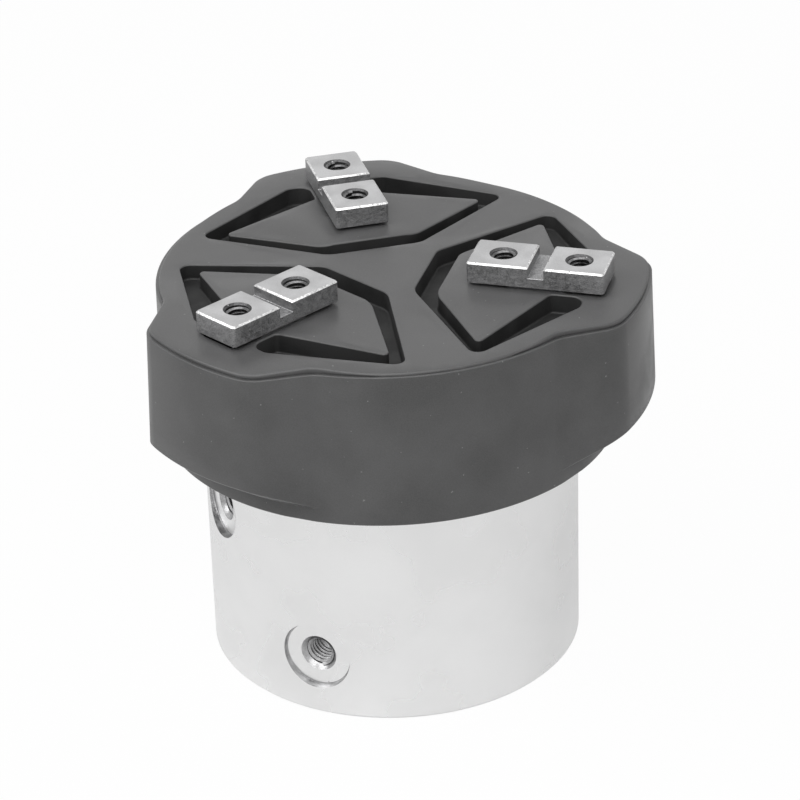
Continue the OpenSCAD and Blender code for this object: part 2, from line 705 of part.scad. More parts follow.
// Steel plate with two pads, the cross slot between them and a thread in each.
module jaw_plate(n) {
    r = finger_hole_d / 2;
    web_z = plate_top - key_depth;
    color(steel) at_jaw(n) difference() {
        union() {
            translate([jaw_x0 + 2, -jaw_w / 2, plate_z]) cube([jaw_l - 4, jaw_w, web_z - plate_z]);
            chamfered_block(jaw_x0, jaw_mid - key_w / 2, jaw_w, plate_z, plate_top, jaw_chamfer);
            chamfered_block(jaw_mid + key_w / 2, jaw_x1, jaw_w, plate_z, plate_top, jaw_chamfer);
        }
        for (x = finger_x) translate([x, 0, 0]) rotate_extrude() polygon([
            [0, plate_z - 1], [r, plate_z - 1], [r, plate_top - 0.6], [r + 0.6, plate_top],
            [r + 0.6, plate_top + 1], [0, plate_top + 1]]);
        for (x = jaw_screw_x) translate([x, 0, plate_z - 1]) cylinder(r = m25[0], h = jaw_screw_grip + 1.2);
    }
}

module jaw_screws(n) {
    color(dark_steel) at_jaw(n) for (x = jaw_screw_x)
        translate([x, 0, foot_z0 + jaw_screw_sink]) rotate([180, 0, 0])
            socket_screw(m25, plate_z + jaw_screw_grip - foot_z0 - jaw_screw_sink);
}

// ---- assembly ---------------------------------------------------------

cylinder_body();
end_cap();
end_cap_seal();
snap_ring();
rod_bush();
rod_seal();
guide_body();
guide_screws();
head_housing();
top_cover();
cover_screws();
piston();
piston_seal();
piston_guide_ring();
piston_bumpers();
piston_nut();
piston_rod();
wedge_hook();
hook_screw();
base_jaw(1);  // base_jaw_1
base_jaw(2);  // base_jaw_2
base_jaw(3);  // base_jaw_3
jaw_pad(1);  // jaw_pad_1
jaw_pad(2);  // jaw_pad_2
jaw_pad(3);  // jaw_pad_3
jaw_plate(1);  // jaw_plate_1
jaw_plate(2);  // jaw_plate_2
jaw_plate(3);  // jaw_plate_3
jaw_screws(1);  // jaw_screws_1
jaw_screws(2);  // jaw_screws_2
jaw_screws(3);  // jaw_screws_3
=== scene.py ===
"""Looks of a three jaw centric gripper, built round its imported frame.

All sizes are in millimetres. A piece is turned into metres as it is finished, in the place that the
frame gives it. Two points nearer than MERGE count as one, and FACET_MERGE and TINY are the same for a
CAD node's facets and for a face that is being filled. FLAT_ANGLE is the bend under which two facets count
as one face. PAST is how far a cutting tool reaches past the face that it cuts, and DRILL_POINT is the
height of a drill's point as a share of its radius. SKIRT_STEP is how far the head's round part stands
out past the cylinder.
"""

from __future__ import annotations

import json
import logging
import math
from collections.abc import Callable, Iterable, Sequence
from dataclasses import dataclass, field
from enum import Enum, IntEnum

import bmesh
import bpy
from mathutils import Matrix, Vector
from mathutils.geometry import delaunay_2d_cdt, intersect_point_line

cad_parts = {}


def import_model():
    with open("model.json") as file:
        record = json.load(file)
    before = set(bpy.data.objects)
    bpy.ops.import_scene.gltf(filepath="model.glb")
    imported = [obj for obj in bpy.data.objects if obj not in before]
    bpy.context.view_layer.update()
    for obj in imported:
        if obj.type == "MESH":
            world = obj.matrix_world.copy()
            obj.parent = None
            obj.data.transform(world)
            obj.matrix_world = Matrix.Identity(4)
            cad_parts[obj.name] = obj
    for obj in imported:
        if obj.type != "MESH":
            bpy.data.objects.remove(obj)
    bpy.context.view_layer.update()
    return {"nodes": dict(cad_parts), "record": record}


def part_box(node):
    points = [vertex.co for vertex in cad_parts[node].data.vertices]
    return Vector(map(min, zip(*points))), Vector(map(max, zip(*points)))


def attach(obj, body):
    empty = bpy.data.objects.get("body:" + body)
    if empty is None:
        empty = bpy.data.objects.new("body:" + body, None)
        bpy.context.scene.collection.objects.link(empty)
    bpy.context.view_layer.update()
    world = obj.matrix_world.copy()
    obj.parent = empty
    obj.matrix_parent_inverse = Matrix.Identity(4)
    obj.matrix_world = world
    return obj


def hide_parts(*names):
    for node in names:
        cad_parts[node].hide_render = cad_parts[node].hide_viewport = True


LOG = logging.getLogger("gripper")

MM = 0.001
JAW_COUNT = 3
JAWS = range(1, JAW_COUNT + 1)
JAW_STEP = 360 / JAW_COUNT
SCREW_ANGLE = JAW_STEP / 2
SCREW_ANGLES = [SCREW_ANGLE + n * JAW_STEP for n in range(JAW_COUNT)]
SKIRT_STEP = 6.8
MERGE = 1e-4
FACET_MERGE = MERGE * 10
TINY = 1e-7
FLAT_ANGLE = math.radians(0.5)
PAST = 1.0
DRILL_POINT = 0.6
UP = Vector((0.0, 0.0, 1.0))

Colour = tuple[float, float, float]

WHITE = (1.0, 1.0, 1.0, 1.0)


class Body(Enum):
    """The frame's bodies that carry pieces."""

    HOUSING = "housing"
    DRIVE = "drive"
    JAW_1 = "jaw_1"
    JAW_2 = "jaw_2"
    JAW_3 = "jaw_3"


class Slot(Enum):
    """The record's material slots."""

    SATIN_ALUMINIUM = "satin_aluminium"
    MACHINED_ALUMINIUM = "machined_aluminium"
    HEAD_PLASTIC = "head_plastic"
    JAW_STEEL = "jaw_steel"
    GUIDE_STEEL = "guide_steel"
    PAD_BLACK = "pad_black"
    SCREW_STEEL = "screw_steel"
    SEAL_RUBBER = "seal_rubber"
    GUIDE_RING_PLASTIC = "guide_ring_plastic"
    BUSH_BRONZE = "bush_bronze"


# ---- node trees ---------------------------------------------------------


class Socket(Enum):
    """The types of a node group's sockets."""

    VECTOR = "NodeSocketVector"
    FLOAT = "NodeSocketFloat"
    INT = "NodeSocketInt"
    GEOMETRY = "NodeSocketGeometry"


class Graph:
    """Adds nodes to one tree and joins them."""

    # A Mix node has sockets for every type of data, and these are the colour ones.
    MIX_LOW = 6
    MIX_HIGH = 7
    MIX_RESULT = 2

    def __init__(self, tree: bpy.types.NodeTree) -> None:
        """Takes the shader or geometry node tree to work in."""
        self.tree = tree

    def fill(self, node: bpy.types.Node, inputs: dict) -> None:
        """Sets a node's inputs.

        Args:
            node: The node.
            inputs: Values or output sockets, by the input's name or number.
        """
        for key, value in inputs.items():
            if isinstance(value, bpy.types.NodeSocket):
                self.tree.links.new(value, node.inputs[key])
            else:
                node.inputs[key].default_value = value

    def node(self, kind: str, inputs: dict | None = None, **settings: object) -> bpy.types.Node:
        """Adds a node.

        Args:
            kind: Blender's type name of the node.
            inputs: Values or output sockets, by the input's name or number.
            **settings: Properties of the node itself.

        Returns:
            The new node.
        """
        made = self.tree.nodes.new(kind)
        for name, value in settings.items():
            setattr(made, name, value)
        self.fill(made, inputs or {})
        return made

    def math(self, operation: str, *values: object) -> bpy.types.NodeSocket:
        """Adds a Math node on numbers or sockets, and gives its result."""
        return self.node("ShaderNodeMath", dict(enumerate(values)), operation=operation).outputs[0]

    def mix(self, share: object, low: object, high: object) -> bpy.types.NodeSocket:
        """Mixes two colours, by the share of the second, and gives the mixed colour."""
        inputs = {0: share, self.MIX_LOW: low, self.MIX_HIGH: high}
        return self.node("ShaderNodeMix", inputs, data_type="RGBA").outputs[self.MIX_RESULT]

    def ramp(
        self, value: object, low: float, high: float, to_low: float = 0.0, to_high: float = 1.0
    ) -> bpy.types.NodeSocket:
        """Maps a value smoothly from one range to another.

        Args:
            value: The value's socket.
            low: Start of the range that is read.
            high: End of that range.
            to_low: Result at its start.
            to_high: Result at its end.

        Returns:
            The mapped value's socket.
        """
        inputs = {"Value": value, "From Min": low, "From Max": high, "To Min": to_low, "To Max": to_high}
        return self.node("ShaderNodeMapRange", inputs, interpolation_type="SMOOTHSTEP").outputs[0]

    def noise(
        self, place: bpy.types.NodeSocket, scale: object, detail: float, roughness: float = 0.5
    ) -> bpy.types.bpy_prop_collection:
        """Adds a noise texture.

        Args:
            place: The point at which it is read.
            scale: Its scale, a number or a socket.
            detail: How many finer layers it has.
            roughness: Strength of the finer layers.

        Returns:
            The node's outputs.
        """
        inputs = {"Vector": place, "Scale": scale, "Detail": detail, "Roughness": roughness}
        return self.node("ShaderNodeTexNoise", inputs).outputs


def add_socket(tree: bpy.types.NodeTree, label: str, kind: Socket, way: str = "INPUT") -> str:
    """Adds a socket to a node group.

    Args:
        tree: The group.
        label: The socket's name.
        kind: Its type.
        way: INPUT or OUTPUT.

    Returns:
        The socket's identifier.
    """
    return tree.interface.new_socket(name=label, in_out=way, socket_type=kind.value).identifier


def new_group(
    name: str, inputs: Sequence[str], outputs: Sequence[str]
) -> tuple[Graph, bpy.types.bpy_prop_collection, bpy.types.Node]:
    """Makes an empty shader node group that reads a place and some numbers.

    Args:
        name: The group's name.
        inputs: Names of its number inputs, which come after the Vector input.
        outputs: Names of its outputs, which are numbers.

    Returns:
        The group's graph, its inputs as nodes inside it read them, and its output node.
    """
    tree = bpy.data.node_groups.new(name, "ShaderNodeTree")
    add_socket(tree, "Vector", Socket.VECTOR)
    for label in inputs:
        add_socket(tree, label, Socket.FLOAT)
    for label in outputs:
        add_socket(tree, label, Socket.FLOAT, "OUTPUT")
    graph = Graph(tree)
    return graph, graph.node("NodeGroupInput").outputs, graph.node("NodeGroupOutput")


def grain_group() -> bpy.types.NodeTree:
    """Builds the fine surface grain and the slow mottle that every finish shares.

    Returns:
        A group with a height for bumps, a fine shade and a slow shade.
    """
    graph, given, out = new_group("surface_grain", ("Grain", "Mottle"), ("Height", "Fine", "Slow"))
    fine = graph.noise(given["Vector"], given["Grain"], 4.0, 0.62)["Fac"]
    slow = graph.noise(given["Vector"], given["Mottle"], 3.0, 0.55)["Fac"]
    graph.fill(out, {"Height": fine, "Fine": graph.ramp(fine, 0.3, 0.7), "Slow": graph.ramp(slow, 0.3, 0.7)})
    return graph.tree


def specks_group() -> bpy.types.NodeTree:
    """Builds scattered specks of dust or small pits, with outlines that a finer noise bends.

    Returns:
        A group with a mask that is 1 on a speck.
    """
    graph, given, out = new_group("specks", ("Scale", "Size", "Share"), ("Mask",))
    finer = graph.math("MULTIPLY", given["Scale"], 3.0)
    bend = graph.noise(given["Vector"], finer, 1.0)["Color"]
    reach = graph.math("DIVIDE", 0.35, given["Scale"])
    shift = graph.node("ShaderNodeVectorMath", {0: bend, "Scale": reach}, operation="SCALE").outputs[0]
    place = graph.node("ShaderNodeVectorMath", {0: given["Vector"], 1: shift}, operation="ADD").outputs[0]
    cells = graph.node("ShaderNodeTexVoronoi", {"Vector": place, "Scale": given["Scale"]}).outputs
    pick = graph.node("ShaderNodeSeparateColor", {"Color": cells["Color"]}).outputs
    chosen = graph.math("LESS_THAN", pick["Red"], given["Share"])
    radius = graph.math("MULTIPLY", given["Size"], graph.ramp(pick["Green"], 0.0, 1.0, 0.35, 1.0))
    near = graph.math("LESS_THAN", cells["Distance"], radius)
    graph.fill(out, {"Mask": graph.math("MULTIPLY", chosen, near)})
    return graph.tree


def edge_wear_and_highlight_group() -> bpy.types.NodeTree:
    """Builds the mask of lighter edges, for rubbed edges and for a painted highlight along rims, broken up by
    a noise.

    Returns:
        A group with a mask that rises to 1 along edges.
    """
    graph, given, out = new_group("edge_wear", ("Radius", "Scale"), ("Mask",))
    soft = graph.node("ShaderNodeBevel", {"Radius": given["Radius"]}, samples=4).outputs["Normal"]
    true = graph.node("ShaderNodeNewGeometry").outputs["Normal"]
    along = graph.node("ShaderNodeVectorMath", {0: soft, 1: true}, operation="DOT_PRODUCT").outputs["Value"]
    patchy = graph.noise(given["Vector"], given["Scale"], 3.0)["Fac"]
    broken = graph.ramp(patchy, 0.35, 0.6, 0.35, 1.0)
    graph.fill(out, {"Mask": graph.math("MULTIPLY", graph.ramp(along, 0.99, 0.8), broken)})
    return graph.tree


class SharedEffects:
    """The shader node groups that the finishes share, each built once."""

    grain: bpy.types.NodeTree
    specks: bpy.types.NodeTree
    wear_and_highlight: bpy.types.NodeTree

    @classmethod
    def build(cls) -> None:
        """Builds the groups."""
        cls.grain = grain_group()
        cls.specks = specks_group()
        cls.wear_and_highlight = edge_wear_and_highlight_group()


# ---- finishes -----------------------------------------------------------


def grey(level: float) -> Colour:
    """Gives a neutral colour.

    Args:
        level: How bright it is, from 0 to 1.

    Returns:
        The colour.
    """
    return level, level, level


@dataclass(frozen=True)
class Finish:
    """A surface's colour, gloss, grain and dust, and lighter edges: rubbed ones on metal, a painted highlight
    on the plastic.

    Grain sizes are in millimetres, and `stretch` draws the grain out along an axis.
    """

    name: str
    low: Colour
    high: Colour
    metallic: float = 0.0
    roughness: float = 0.5
    roughness_swing: float = 0.08
    grain_mm: float = 0.3
    mottle_mm: float = 12.0
    relief_mm: float = 0.01
    stretch: Colour = (1.0, 1.0, 1.0)
    fine_share: float = 0.5
    speck_mm: float = 1.2
    speck_size: float = 0.1
    speck_share: float = 0.0
    speck_colour: Colour = grey(0.3)
    wear_and_highlight_mm: float = 0.15
    wear_and_highlight_patch_mm: float = 1.5
    wear_and_highlight_share: float = 0.0
    wear_and_highlight_colour: Colour = grey(0.8)

    def material(self) -> bpy.types.Material:
        """Builds the material, or returns the one built before.

        Returns:
            The material.
        """
        known = bpy.data.materials.get(self.name)
        if known:
            return known
        made = bpy.data.materials.new(self.name)
        made.use_nodes = True
        made.diffuse_color = (*self.high, 1.0)
        self.shade(Graph(made.node_tree), made.node_tree.nodes["Principled BSDF"])
        return made

    def shade(self, graph: Graph, surface: bpy.types.Node) -> None:
        """Fills in the material's nodes.

        Args:
            graph: The material's graph.
            surface: Its surface shader.
        """
        place = graph.node("ShaderNodeTexCoord").outputs["Object"]
        drawn = graph.node("ShaderNodeMapping", {"Vector": place, "Scale": self.stretch}).outputs["Vector"]
        given = {"Vector": drawn, "Grain": 1 / (self.grain_mm * MM), "Mottle": 1 / (self.mottle_mm * MM)}
        grain = graph.node("ShaderNodeGroup", given, node_tree=SharedEffects.grain).outputs
        fine = graph.math("MULTIPLY", grain["Fine"], self.fine_share)
        slow = graph.math("MULTIPLY", grain["Slow"], 1 - self.fine_share)
        colour = graph.mix(graph.math("ADD", fine, slow), (*self.low, 1.0), (*self.high, 1.0))
        low, high = self.roughness - self.roughness_swing, self.roughness + self.roughness_swing
        bump = graph.node("ShaderNodeBump", {"Height": grain["Height"], "Distance": self.relief_mm * MM})
        graph.fill(surface, {
            "Base Color": self.marked(graph, place, colour),
            "Metallic": self.metallic,
            "Roughness": graph.ramp(grain["Slow"], 0.0, 1.0, low, high),
            "Normal": bump.outputs["Normal"],
        })

    def marked(
        self, graph: Graph, place: bpy.types.NodeSocket, colour: bpy.types.NodeSocket
    ) -> bpy.types.NodeSocket:
        """Adds lighter edges and specks to the colour; the lighter edges are rubbed ones on metal and a
        painted highlight on the plastic.

        Args:
            graph: The material's graph.
            place: Object coordinates.
            colour: The plain colour.

        Returns:
            The colour with its marks.
        """
        # Lighter edges: rubbed on metal, a painted highlight along the plastic's rims and the pockets' lips.
        if self.wear_and_highlight_share > 0:
            sizes = {"Radius": self.wear_and_highlight_mm * MM, "Scale": 1 / (self.wear_and_highlight_patch_mm * MM)}
            wear_and_highlight = graph.node("ShaderNodeGroup", {"Vector": place, **sizes}, node_tree=SharedEffects.wear_and_highlight)
            share = graph.math("MULTIPLY", wear_and_highlight.outputs["Mask"], self.wear_and_highlight_share)
            colour = graph.mix(share, colour, (*self.wear_and_highlight_colour, 1.0))
        if self.speck_share > 0:
            sizes = {"Scale": 1 / (self.speck_mm * MM), "Size": self.speck_size, "Share": self.speck_share}
            specks = graph.node("ShaderNodeGroup", {"Vector": place, **sizes}, node_tree=SharedEffects.specks)
            colour = graph.mix(specks.outputs["Mask"], colour, (*self.speck_colour, 1.0))
        return colour


# The plastic's lighter edges are a painted highlight along its rims and the pockets' lips; its specks are
# dust.
HEAD_PLASTIC = Finish(
    "head_plastic_finish", grey(0.06), (0.105, 0.105, 0.106), roughness=0.4, grain_mm=0.18, relief_mm=0.012,
    mottle_mm=14.0, fine_share=0.4, speck_mm=1.5, speck_size=0.09, speck_share=0.4,
    speck_colour=grey(0.2), wear_and_highlight_mm=0.3, wear_and_highlight_share=0.75, wear_and_highlight_colour=grey(0.2),
)
# Painted shade: the pockets' walls and floors are painted near black, darker than the cover's plastic, for
# the shade that falls in them.
POCKET_SHADED_PLASTIC = Finish(
    "pocket_plastic", grey(0.007), grey(0.012), roughness=0.62, grain_mm=0.25, relief_mm=0.012, mottle_mm=6.0,
)
SATIN_ALUMINIUM = Finish(
    "satin_aluminium_finish", grey(0.8), grey(0.87), metallic=1.0, roughness=0.28, roughness_swing=0.03,
    grain_mm=0.12, relief_mm=0.003, mottle_mm=18.0, fine_share=0.3, speck_mm=3.0, speck_size=0.05,
    speck_share=0.05, speck_colour=grey(0.55), wear_and_highlight_mm=0.12, wear_and_highlight_share=0.4, wear_and_highlight_colour=grey(0.93),
)
# Painted shade: a port's recess, bore and thread are painted darker than the body's aluminium, for the shade
# inside the port.
PORT_SHADED_ALUMINIUM = Finish(
    "port_aluminium", (0.22, 0.22, 0.222), (0.52, 0.52, 0.525), metallic=1.0, roughness=0.36, grain_mm=0.2,
    mottle_mm=1.5,
)
MACHINED_ALUMINIUM = Finish(
    "machined_aluminium_finish", (0.66, 0.665, 0.68), (0.78, 0.785, 0.8), metallic=1.0, roughness=0.36,
    grain_mm=0.2, relief_mm=0.008,
)
# The plate's finishes are partly the real ground top and milled sides, and partly painted light: the top is
# painted lighter than the sides, and the chamfers lighter still as a painted highlight.
GROUND_LIT_STEEL = Finish(
    "jaw_steel_ground", (0.41, 0.41, 0.413), (0.54, 0.54, 0.545), metallic=1.0, grain_mm=0.2,
    relief_mm=0.012, mottle_mm=5.0, fine_share=0.55, speck_mm=1.1, speck_share=0.06, speck_colour=grey(0.25),
)
EDGE_HIGHLIGHT_STEEL = Finish(
    "jaw_steel_edge", grey(0.3), grey(0.95), metallic=1.0, roughness=0.34, relief_mm=0.05, mottle_mm=0.9,
    fine_share=0.6, speck_mm=0.6, speck_size=0.2, speck_share=0.25, speck_colour=grey(0.1),
)
MILLED_SHADED_STEEL = Finish(
    "jaw_steel_milled", (0.18, 0.18, 0.182), (0.42, 0.42, 0.425), metallic=1.0, roughness=0.48, grain_mm=0.26,
    relief_mm=0.05, mottle_mm=0.9, stretch=(1.0, 1.0, 1.8), fine_share=0.8, speck_mm=0.7, speck_size=0.16,
    speck_share=0.15, speck_colour=grey(0.06),
)
# Painted shade: the plates' holes and their threads are painted darker than the plate's steel, for the shade
# inside them.
HOLE_SHADED_STEEL = Finish(
    "hole_steel", (0.04, 0.04, 0.041), (0.13, 0.13, 0.132), metallic=1.0, relief_mm=0.02, fine_share=0.7,
    speck_mm=0.5, speck_size=0.22, speck_share=0.3, speck_colour=grey(0.6),
)
THREAD_SHADED_STEEL = Finish(
    "thread_steel", (0.06, 0.06, 0.061), (0.26, 0.26, 0.263), metallic=1.0, roughness=0.36, grain_mm=0.4,
    mottle_mm=1.5,
)
GUIDE_STEEL = Finish(
    "guide_steel_finish", (0.4, 0.4, 0.41), (0.52, 0.52, 0.53), metallic=1.0, roughness=0.38, grain_mm=0.2,
    relief_mm=0.006,
)
PAD_BLACK = Finish(
    "pad_black_finish", (0.028, 0.028, 0.029), (0.05, 0.05, 0.051), grain_mm=0.2,
    speck_mm=1.0, speck_size=0.08, speck_share=0.05, speck_colour=grey(0.15),
)
SCREW_STEEL = Finish(
    "screw_steel_finish", (0.1, 0.1, 0.105), (0.17, 0.17, 0.175), metallic=0.9, roughness=0.42, grain_mm=0.15,
    relief_mm=0.006, wear_and_highlight_share=0.4, wear_and_highlight_colour=grey(0.45),
)
SEAL_RUBBER = Finish("seal_rubber_finish", grey(0.02), grey(0.034), roughness=0.62)
GUIDE_RING_PLASTIC = Finish(
    "guide_ring_plastic_finish", (0.74, 0.72, 0.64), (0.84, 0.82, 0.75), roughness=0.45,
)
BUSH_BRONZE = Finish(
    "bush_bronze_finish", (0.5, 0.36, 0.18), (0.66, 0.5, 0.27), metallic=1.0, roughness=0.38,
)


# ---- mesh work ----------------------------------------------------------


def eased(value: float, start: float, end: float) -> float:
    """Gives 0 below start and 1 above end, with a smooth step between them.

    Args:
        value: What is tested.
        start: Where the step starts.
        end: Where it ends.

    Returns:
        The step's height.
    """
    share = min(max((value - start) / (end - start), 0.0), 1.0)
    return share * share * (3 - 2 * share)


def polar(radius: float, angle: float) -> Vector:
    """Gives a point in the plane.

    Args:
        radius: Distance from the axis.
        angle: Direction in degrees.

    Returns:
        The point in X and Y.
    """
    turn = math.radians(angle)
    return Vector((radius * math.cos(turn), radius * math.sin(turn)))


def arc(centre: Vector, radius: float, start: float, end: float, steps: int) -> list[Vector]:
    """Gives the points of an arc after its first one.

    Args:
        centre: The arc's centre.
        radius: Its radius.
        start: Direction of its start, in degrees.
        end: Direction of its end.
        steps: Number of points.

    Returns:
        The points in the plane.
    """
    return [centre + polar(radius, start + (end - start) * i / steps) for i in range(1, steps + 1)]


def lifted(loop: Iterable[Vector], z: float) -> list[Vector]:
    """Raises a plane loop to the height z.

    Args:
        loop: Points in the plane.
        z: Their height.

    Returns:
        The points in space.
    """
    return [Vector((p.x, p.y, z)) for p in loop]


def spread(loop: Sequence[Vector], distance: float) -> list[Vector]:
    """Moves every point of a closed counter-clockwise loop outwards.

    Args:
        loop: Points in the plane.
        distance: How far the sides move outwards; negative moves them inwards.

    Returns:
        The new loop, point for point.
    """
    moved = []
    for i, here in enumerate(loop):
        before = (here - loop[i - 1]).normalized()
        after = (loop[(i + 1) % len(loop)] - here).normalized()
        out = Vector((before.y + after.y, -before.x - after.x))
        moved.append(here + out * distance * 2 / out.length_squared)
    return moved


def rounded(corners: Sequence[tuple[float, float, float]], steps: int = 8) -> list[Vector]:
    """Rounds a polygon's corners by arcs.

    Args:
        corners: X, Y and radius of each corner.
        steps: Sides of each arc.

    Returns:
        The rounded loop, counter-clockwise.
    """
    loop: list[Vector] = []
    for i, (x, y, radius) in enumerate(corners):
        here = Vector((x, y))
        back = (Vector(corners[i - 1][:2]) - here).normalized()
        ahead = (Vector(corners[(i + 1) % len(corners)][:2]) - here).normalized()
        half = back.angle(ahead) / 2
        centre = here + (back + ahead).normalized() * radius / math.sin(half)
        start = here + back * radius / math.tan(half) - centre
        side = math.copysign(1, start.cross(here + ahead * radius / math.tan(half) - centre))
        sweep = side * (math.pi - 2 * half)
        loop += [centre + start @ Matrix.Rotation(-sweep * k / steps, 2) for k in range(steps + 1)]
    twice_area = sum(loop[i - 1].cross(p) for i, p in enumerate(loop))
    return loop if twice_area > 0 else loop[::-1]


def inside(point: Vector, loop: Sequence[Vector]) -> bool:
    """Tells whether a point lies inside a loop.

    Args:
        point: The point in the plane.
        loop: The closed loop.

    Returns:
        True inside the loop.
    """
    hit = False
    for i, a in enumerate(loop):
        b = loop[i - 1]
        if (a.y > point.y) != (b.y > point.y) and point.x < (b.x - a.x) * (point.y - a.y) / (b.y - a.y) + a.x:
            hit = not hit
    return hit


def distance_to(point: Vector, loop: Sequence[Vector]) -> float:
    """Gives a point's distance from a loop.

    Args:
        point: The point in the plane.
        loop: The closed loop.

    Returns:
        The distance to its nearest side.
    """
    nearest = math.inf
    for i, a in enumerate(loop):
        foot, share = intersect_point_line(point, loop[i - 1], a)
        if share <= 0:
            foot = loop[i - 1].to_3d()
        elif share >= 1:
            foot = a.to_3d()
        nearest = min(nearest, (point - foot.to_2d()).length)
    return nearest


def turned_profile(profile: Iterable[tuple[float, float]], steps: int) -> list[list[Vector]]:
    """Turns a profile about Z.

    Args:
        profile: Radius and height of each point.
        steps: Points in a ring.

    Returns:
        One ring for each point of the profile.
    """
    return [lifted(arc(Vector((0, 0)), r, 0, 360, steps), z) for r, z in profile]


def skin(mesh: bmesh.types.BMesh, rows: Sequence[Sequence[bmesh.types.BMVert]]) -> None:
    """Joins rings of vertices by quads.

    Args:
        mesh: The mesh to add to.
        rows: Rings of equal length.
    """
    for low, high in zip(rows, rows[1:]):
        for i in range(len(low)):
            mesh.faces.new((low[i - 1], low[i], high[i], high[i - 1]))


def tidy(mesh: bmesh.types.BMesh) -> None:
    """Merges doubles, drops what has no area and turns the faces outwards.

    Args:
        mesh: A closed mesh in millimetres.
    """
    bmesh.ops.remove_doubles(mesh, verts=mesh.verts, dist=MERGE)
    bmesh.ops.dissolve_degenerate(mesh, edges=mesh.edges, dist=MERGE)
    bmesh.ops.recalc_face_normals(mesh, faces=mesh.faces)


def new_piece(name: str, mesh: bmesh.types.BMesh) -> bpy.types.Object:
    """Puts a mesh into a new object of the scene.

    Args:
        name: The object's name.
        mesh: The mesh, which is freed.

    Returns:
        The object, still in millimetres.
    """
    tidy(mesh)
    data = bpy.data.meshes.new(name)
    mesh.to_mesh(data)
    mesh.free()
    made = bpy.data.objects.new(name, data)
    bpy.context.scene.collection.objects.link(made)
    return made


def lathe(name: str, profile: Sequence[tuple[float, float]], steps: int = 64) -> bpy.types.Object:
    """Makes a turned solid from a closed profile.

    Args:
        name: The object's name.
        profile: Radius and height of each point of the closed profile.
        steps: Sides of a full turn.

    Returns:
        The solid.
    """
    mesh = bmesh.new()
    rows = [[mesh.verts.new(p) for p in ring] for ring in turned_profile(profile, steps)]
    skin(mesh, [*rows, rows[0]])
    return new_piece(name, mesh)


def baked(piece: bpy.types.Object) -> None:
    """Applies a piece's modifiers.

    Args:
        piece: The piece, which keeps no modifier.
    """
    graph = bpy.context.evaluated_depsgraph_get()
    data = bpy.data.meshes.new_from_object(piece.evaluated_get(graph), depsgraph=graph)
    piece.modifiers.clear()
    old, piece.data = piece.data, data
    bpy.data.meshes.remove(old)
    data.name = piece.name


def cut(piece: bpy.types.Object, *tools: bpy.types.Object) -> None:
    """Cuts tools out of a piece and removes them.

    Args:
        piece: The piece.
        *tools: Closed solids.
    """
    for tool in tools:
        step = piece.modifiers.new("cut", "BOOLEAN")
        step.operation = "DIFFERENCE"
        step.solver = "EXACT"
        step.object = tool
        baked(piece)
        bpy.data.objects.remove(tool)


def ease_edges(piece: bpy.types.Object, width: float, angle: float = 35.0, segments: int = 2) -> None:
    """Rounds a piece's sharp edges.

    Args:
        piece: The piece.
        width: Width of the rounding.
        angle: Least angle of an edge that counts as sharp, in degrees.
        segments: Strips across the rounding.
    """
    step = piece.modifiers.new("ease", "BEVEL")
    step.width = width
    step.segments = segments
    step.limit_method = "ANGLE"
    step.angle_limit = math.radians(angle)
    step.miter_outer = "MITER_ARC"
    baked(piece)


def turned_to(piece: bpy.types.Object, axis: Vector, place: Vector) -> bpy.types.Object:
    """Turns a piece made along Z to an axis and moves it.

    Args:
        piece: The piece.
        axis: Where its Z goes.
        place: Where its origin goes.

    Returns:
        The same piece.
    """
    turn = UP.rotation_difference(axis).to_matrix().to_4x4()
    piece.data.transform(Matrix.Translation(place) @ turn)
    return piece


def box_mm(node: str) -> tuple[Vector, Vector]:
    """Gives a CAD node's corners.

    Args:
        node: The node's name.

    Returns:
        Lowest and highest corner in millimetres.
    """
    low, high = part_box(node)
    return low / MM, high / MM


def settle(
    piece: bpy.types.Object, body: Body, slot: Slot, finishes: Sequence[Finish],
    stands_for: Sequence[str] = (), smooth: float = 32.0,
) -> None:
    """Turns a piece into metres, dresses it and fixes it to its body.

    Args:
        piece: The piece in millimetres.
        body: The body that carries it.
        slot: The record's slot that its finish belongs to; not used.
        finishes: Its finishes, in the order of its material numbers.
        stands_for: CAD nodes that it replaces.
        smooth: Edges under this many degrees are shaded smooth.
    """
    piece.data.transform(Matrix.Scale(MM, 4))
    piece.data.materials.clear()
    for finish in finishes:
        piece.data.materials.append(finish.material())
    piece.data.shade_smooth()
    piece.data.set_sharp_from_angle(angle=math.radians(smooth))
    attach(piece, body.value)
    if stands_for:
        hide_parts(*stands_for)
    LOG.info("%s rides on %s: %d faces", piece.name, body.value, len(piece.data.polygons))


# ---- threads and screws by Geometry Nodes -------------------------------


@dataclass(frozen=True)
class Thread:
    """An inner thread: a ridge wound in a bore of the thread's outer size."""

    outer_r: float
    core_r: float
    pitch: float
    root_share: float = 0.45
    crest_share: float = 0.1

    def sizes(self, length: float) -> dict[str, float]:
        """Gives the sizes that a thread of this length is wound by.

        Args:
            length: The thread's length.

        Returns:
            The thread tree's inputs, by name.
        """
        return {
            "Pitch": self.pitch,
            "Turns": length / self.pitch,
            "Outer Radius": self.outer_r,
            "Depth": self.outer_r - self.core_r,
            "Root": self.root_share * self.pitch,
            "Crest": self.crest_share * self.pitch,
        }


PORT_THREAD = Thread(2.5, 2.1, 0.8)
JAW_THREAD = Thread(2.0, 1.65, 0.7)


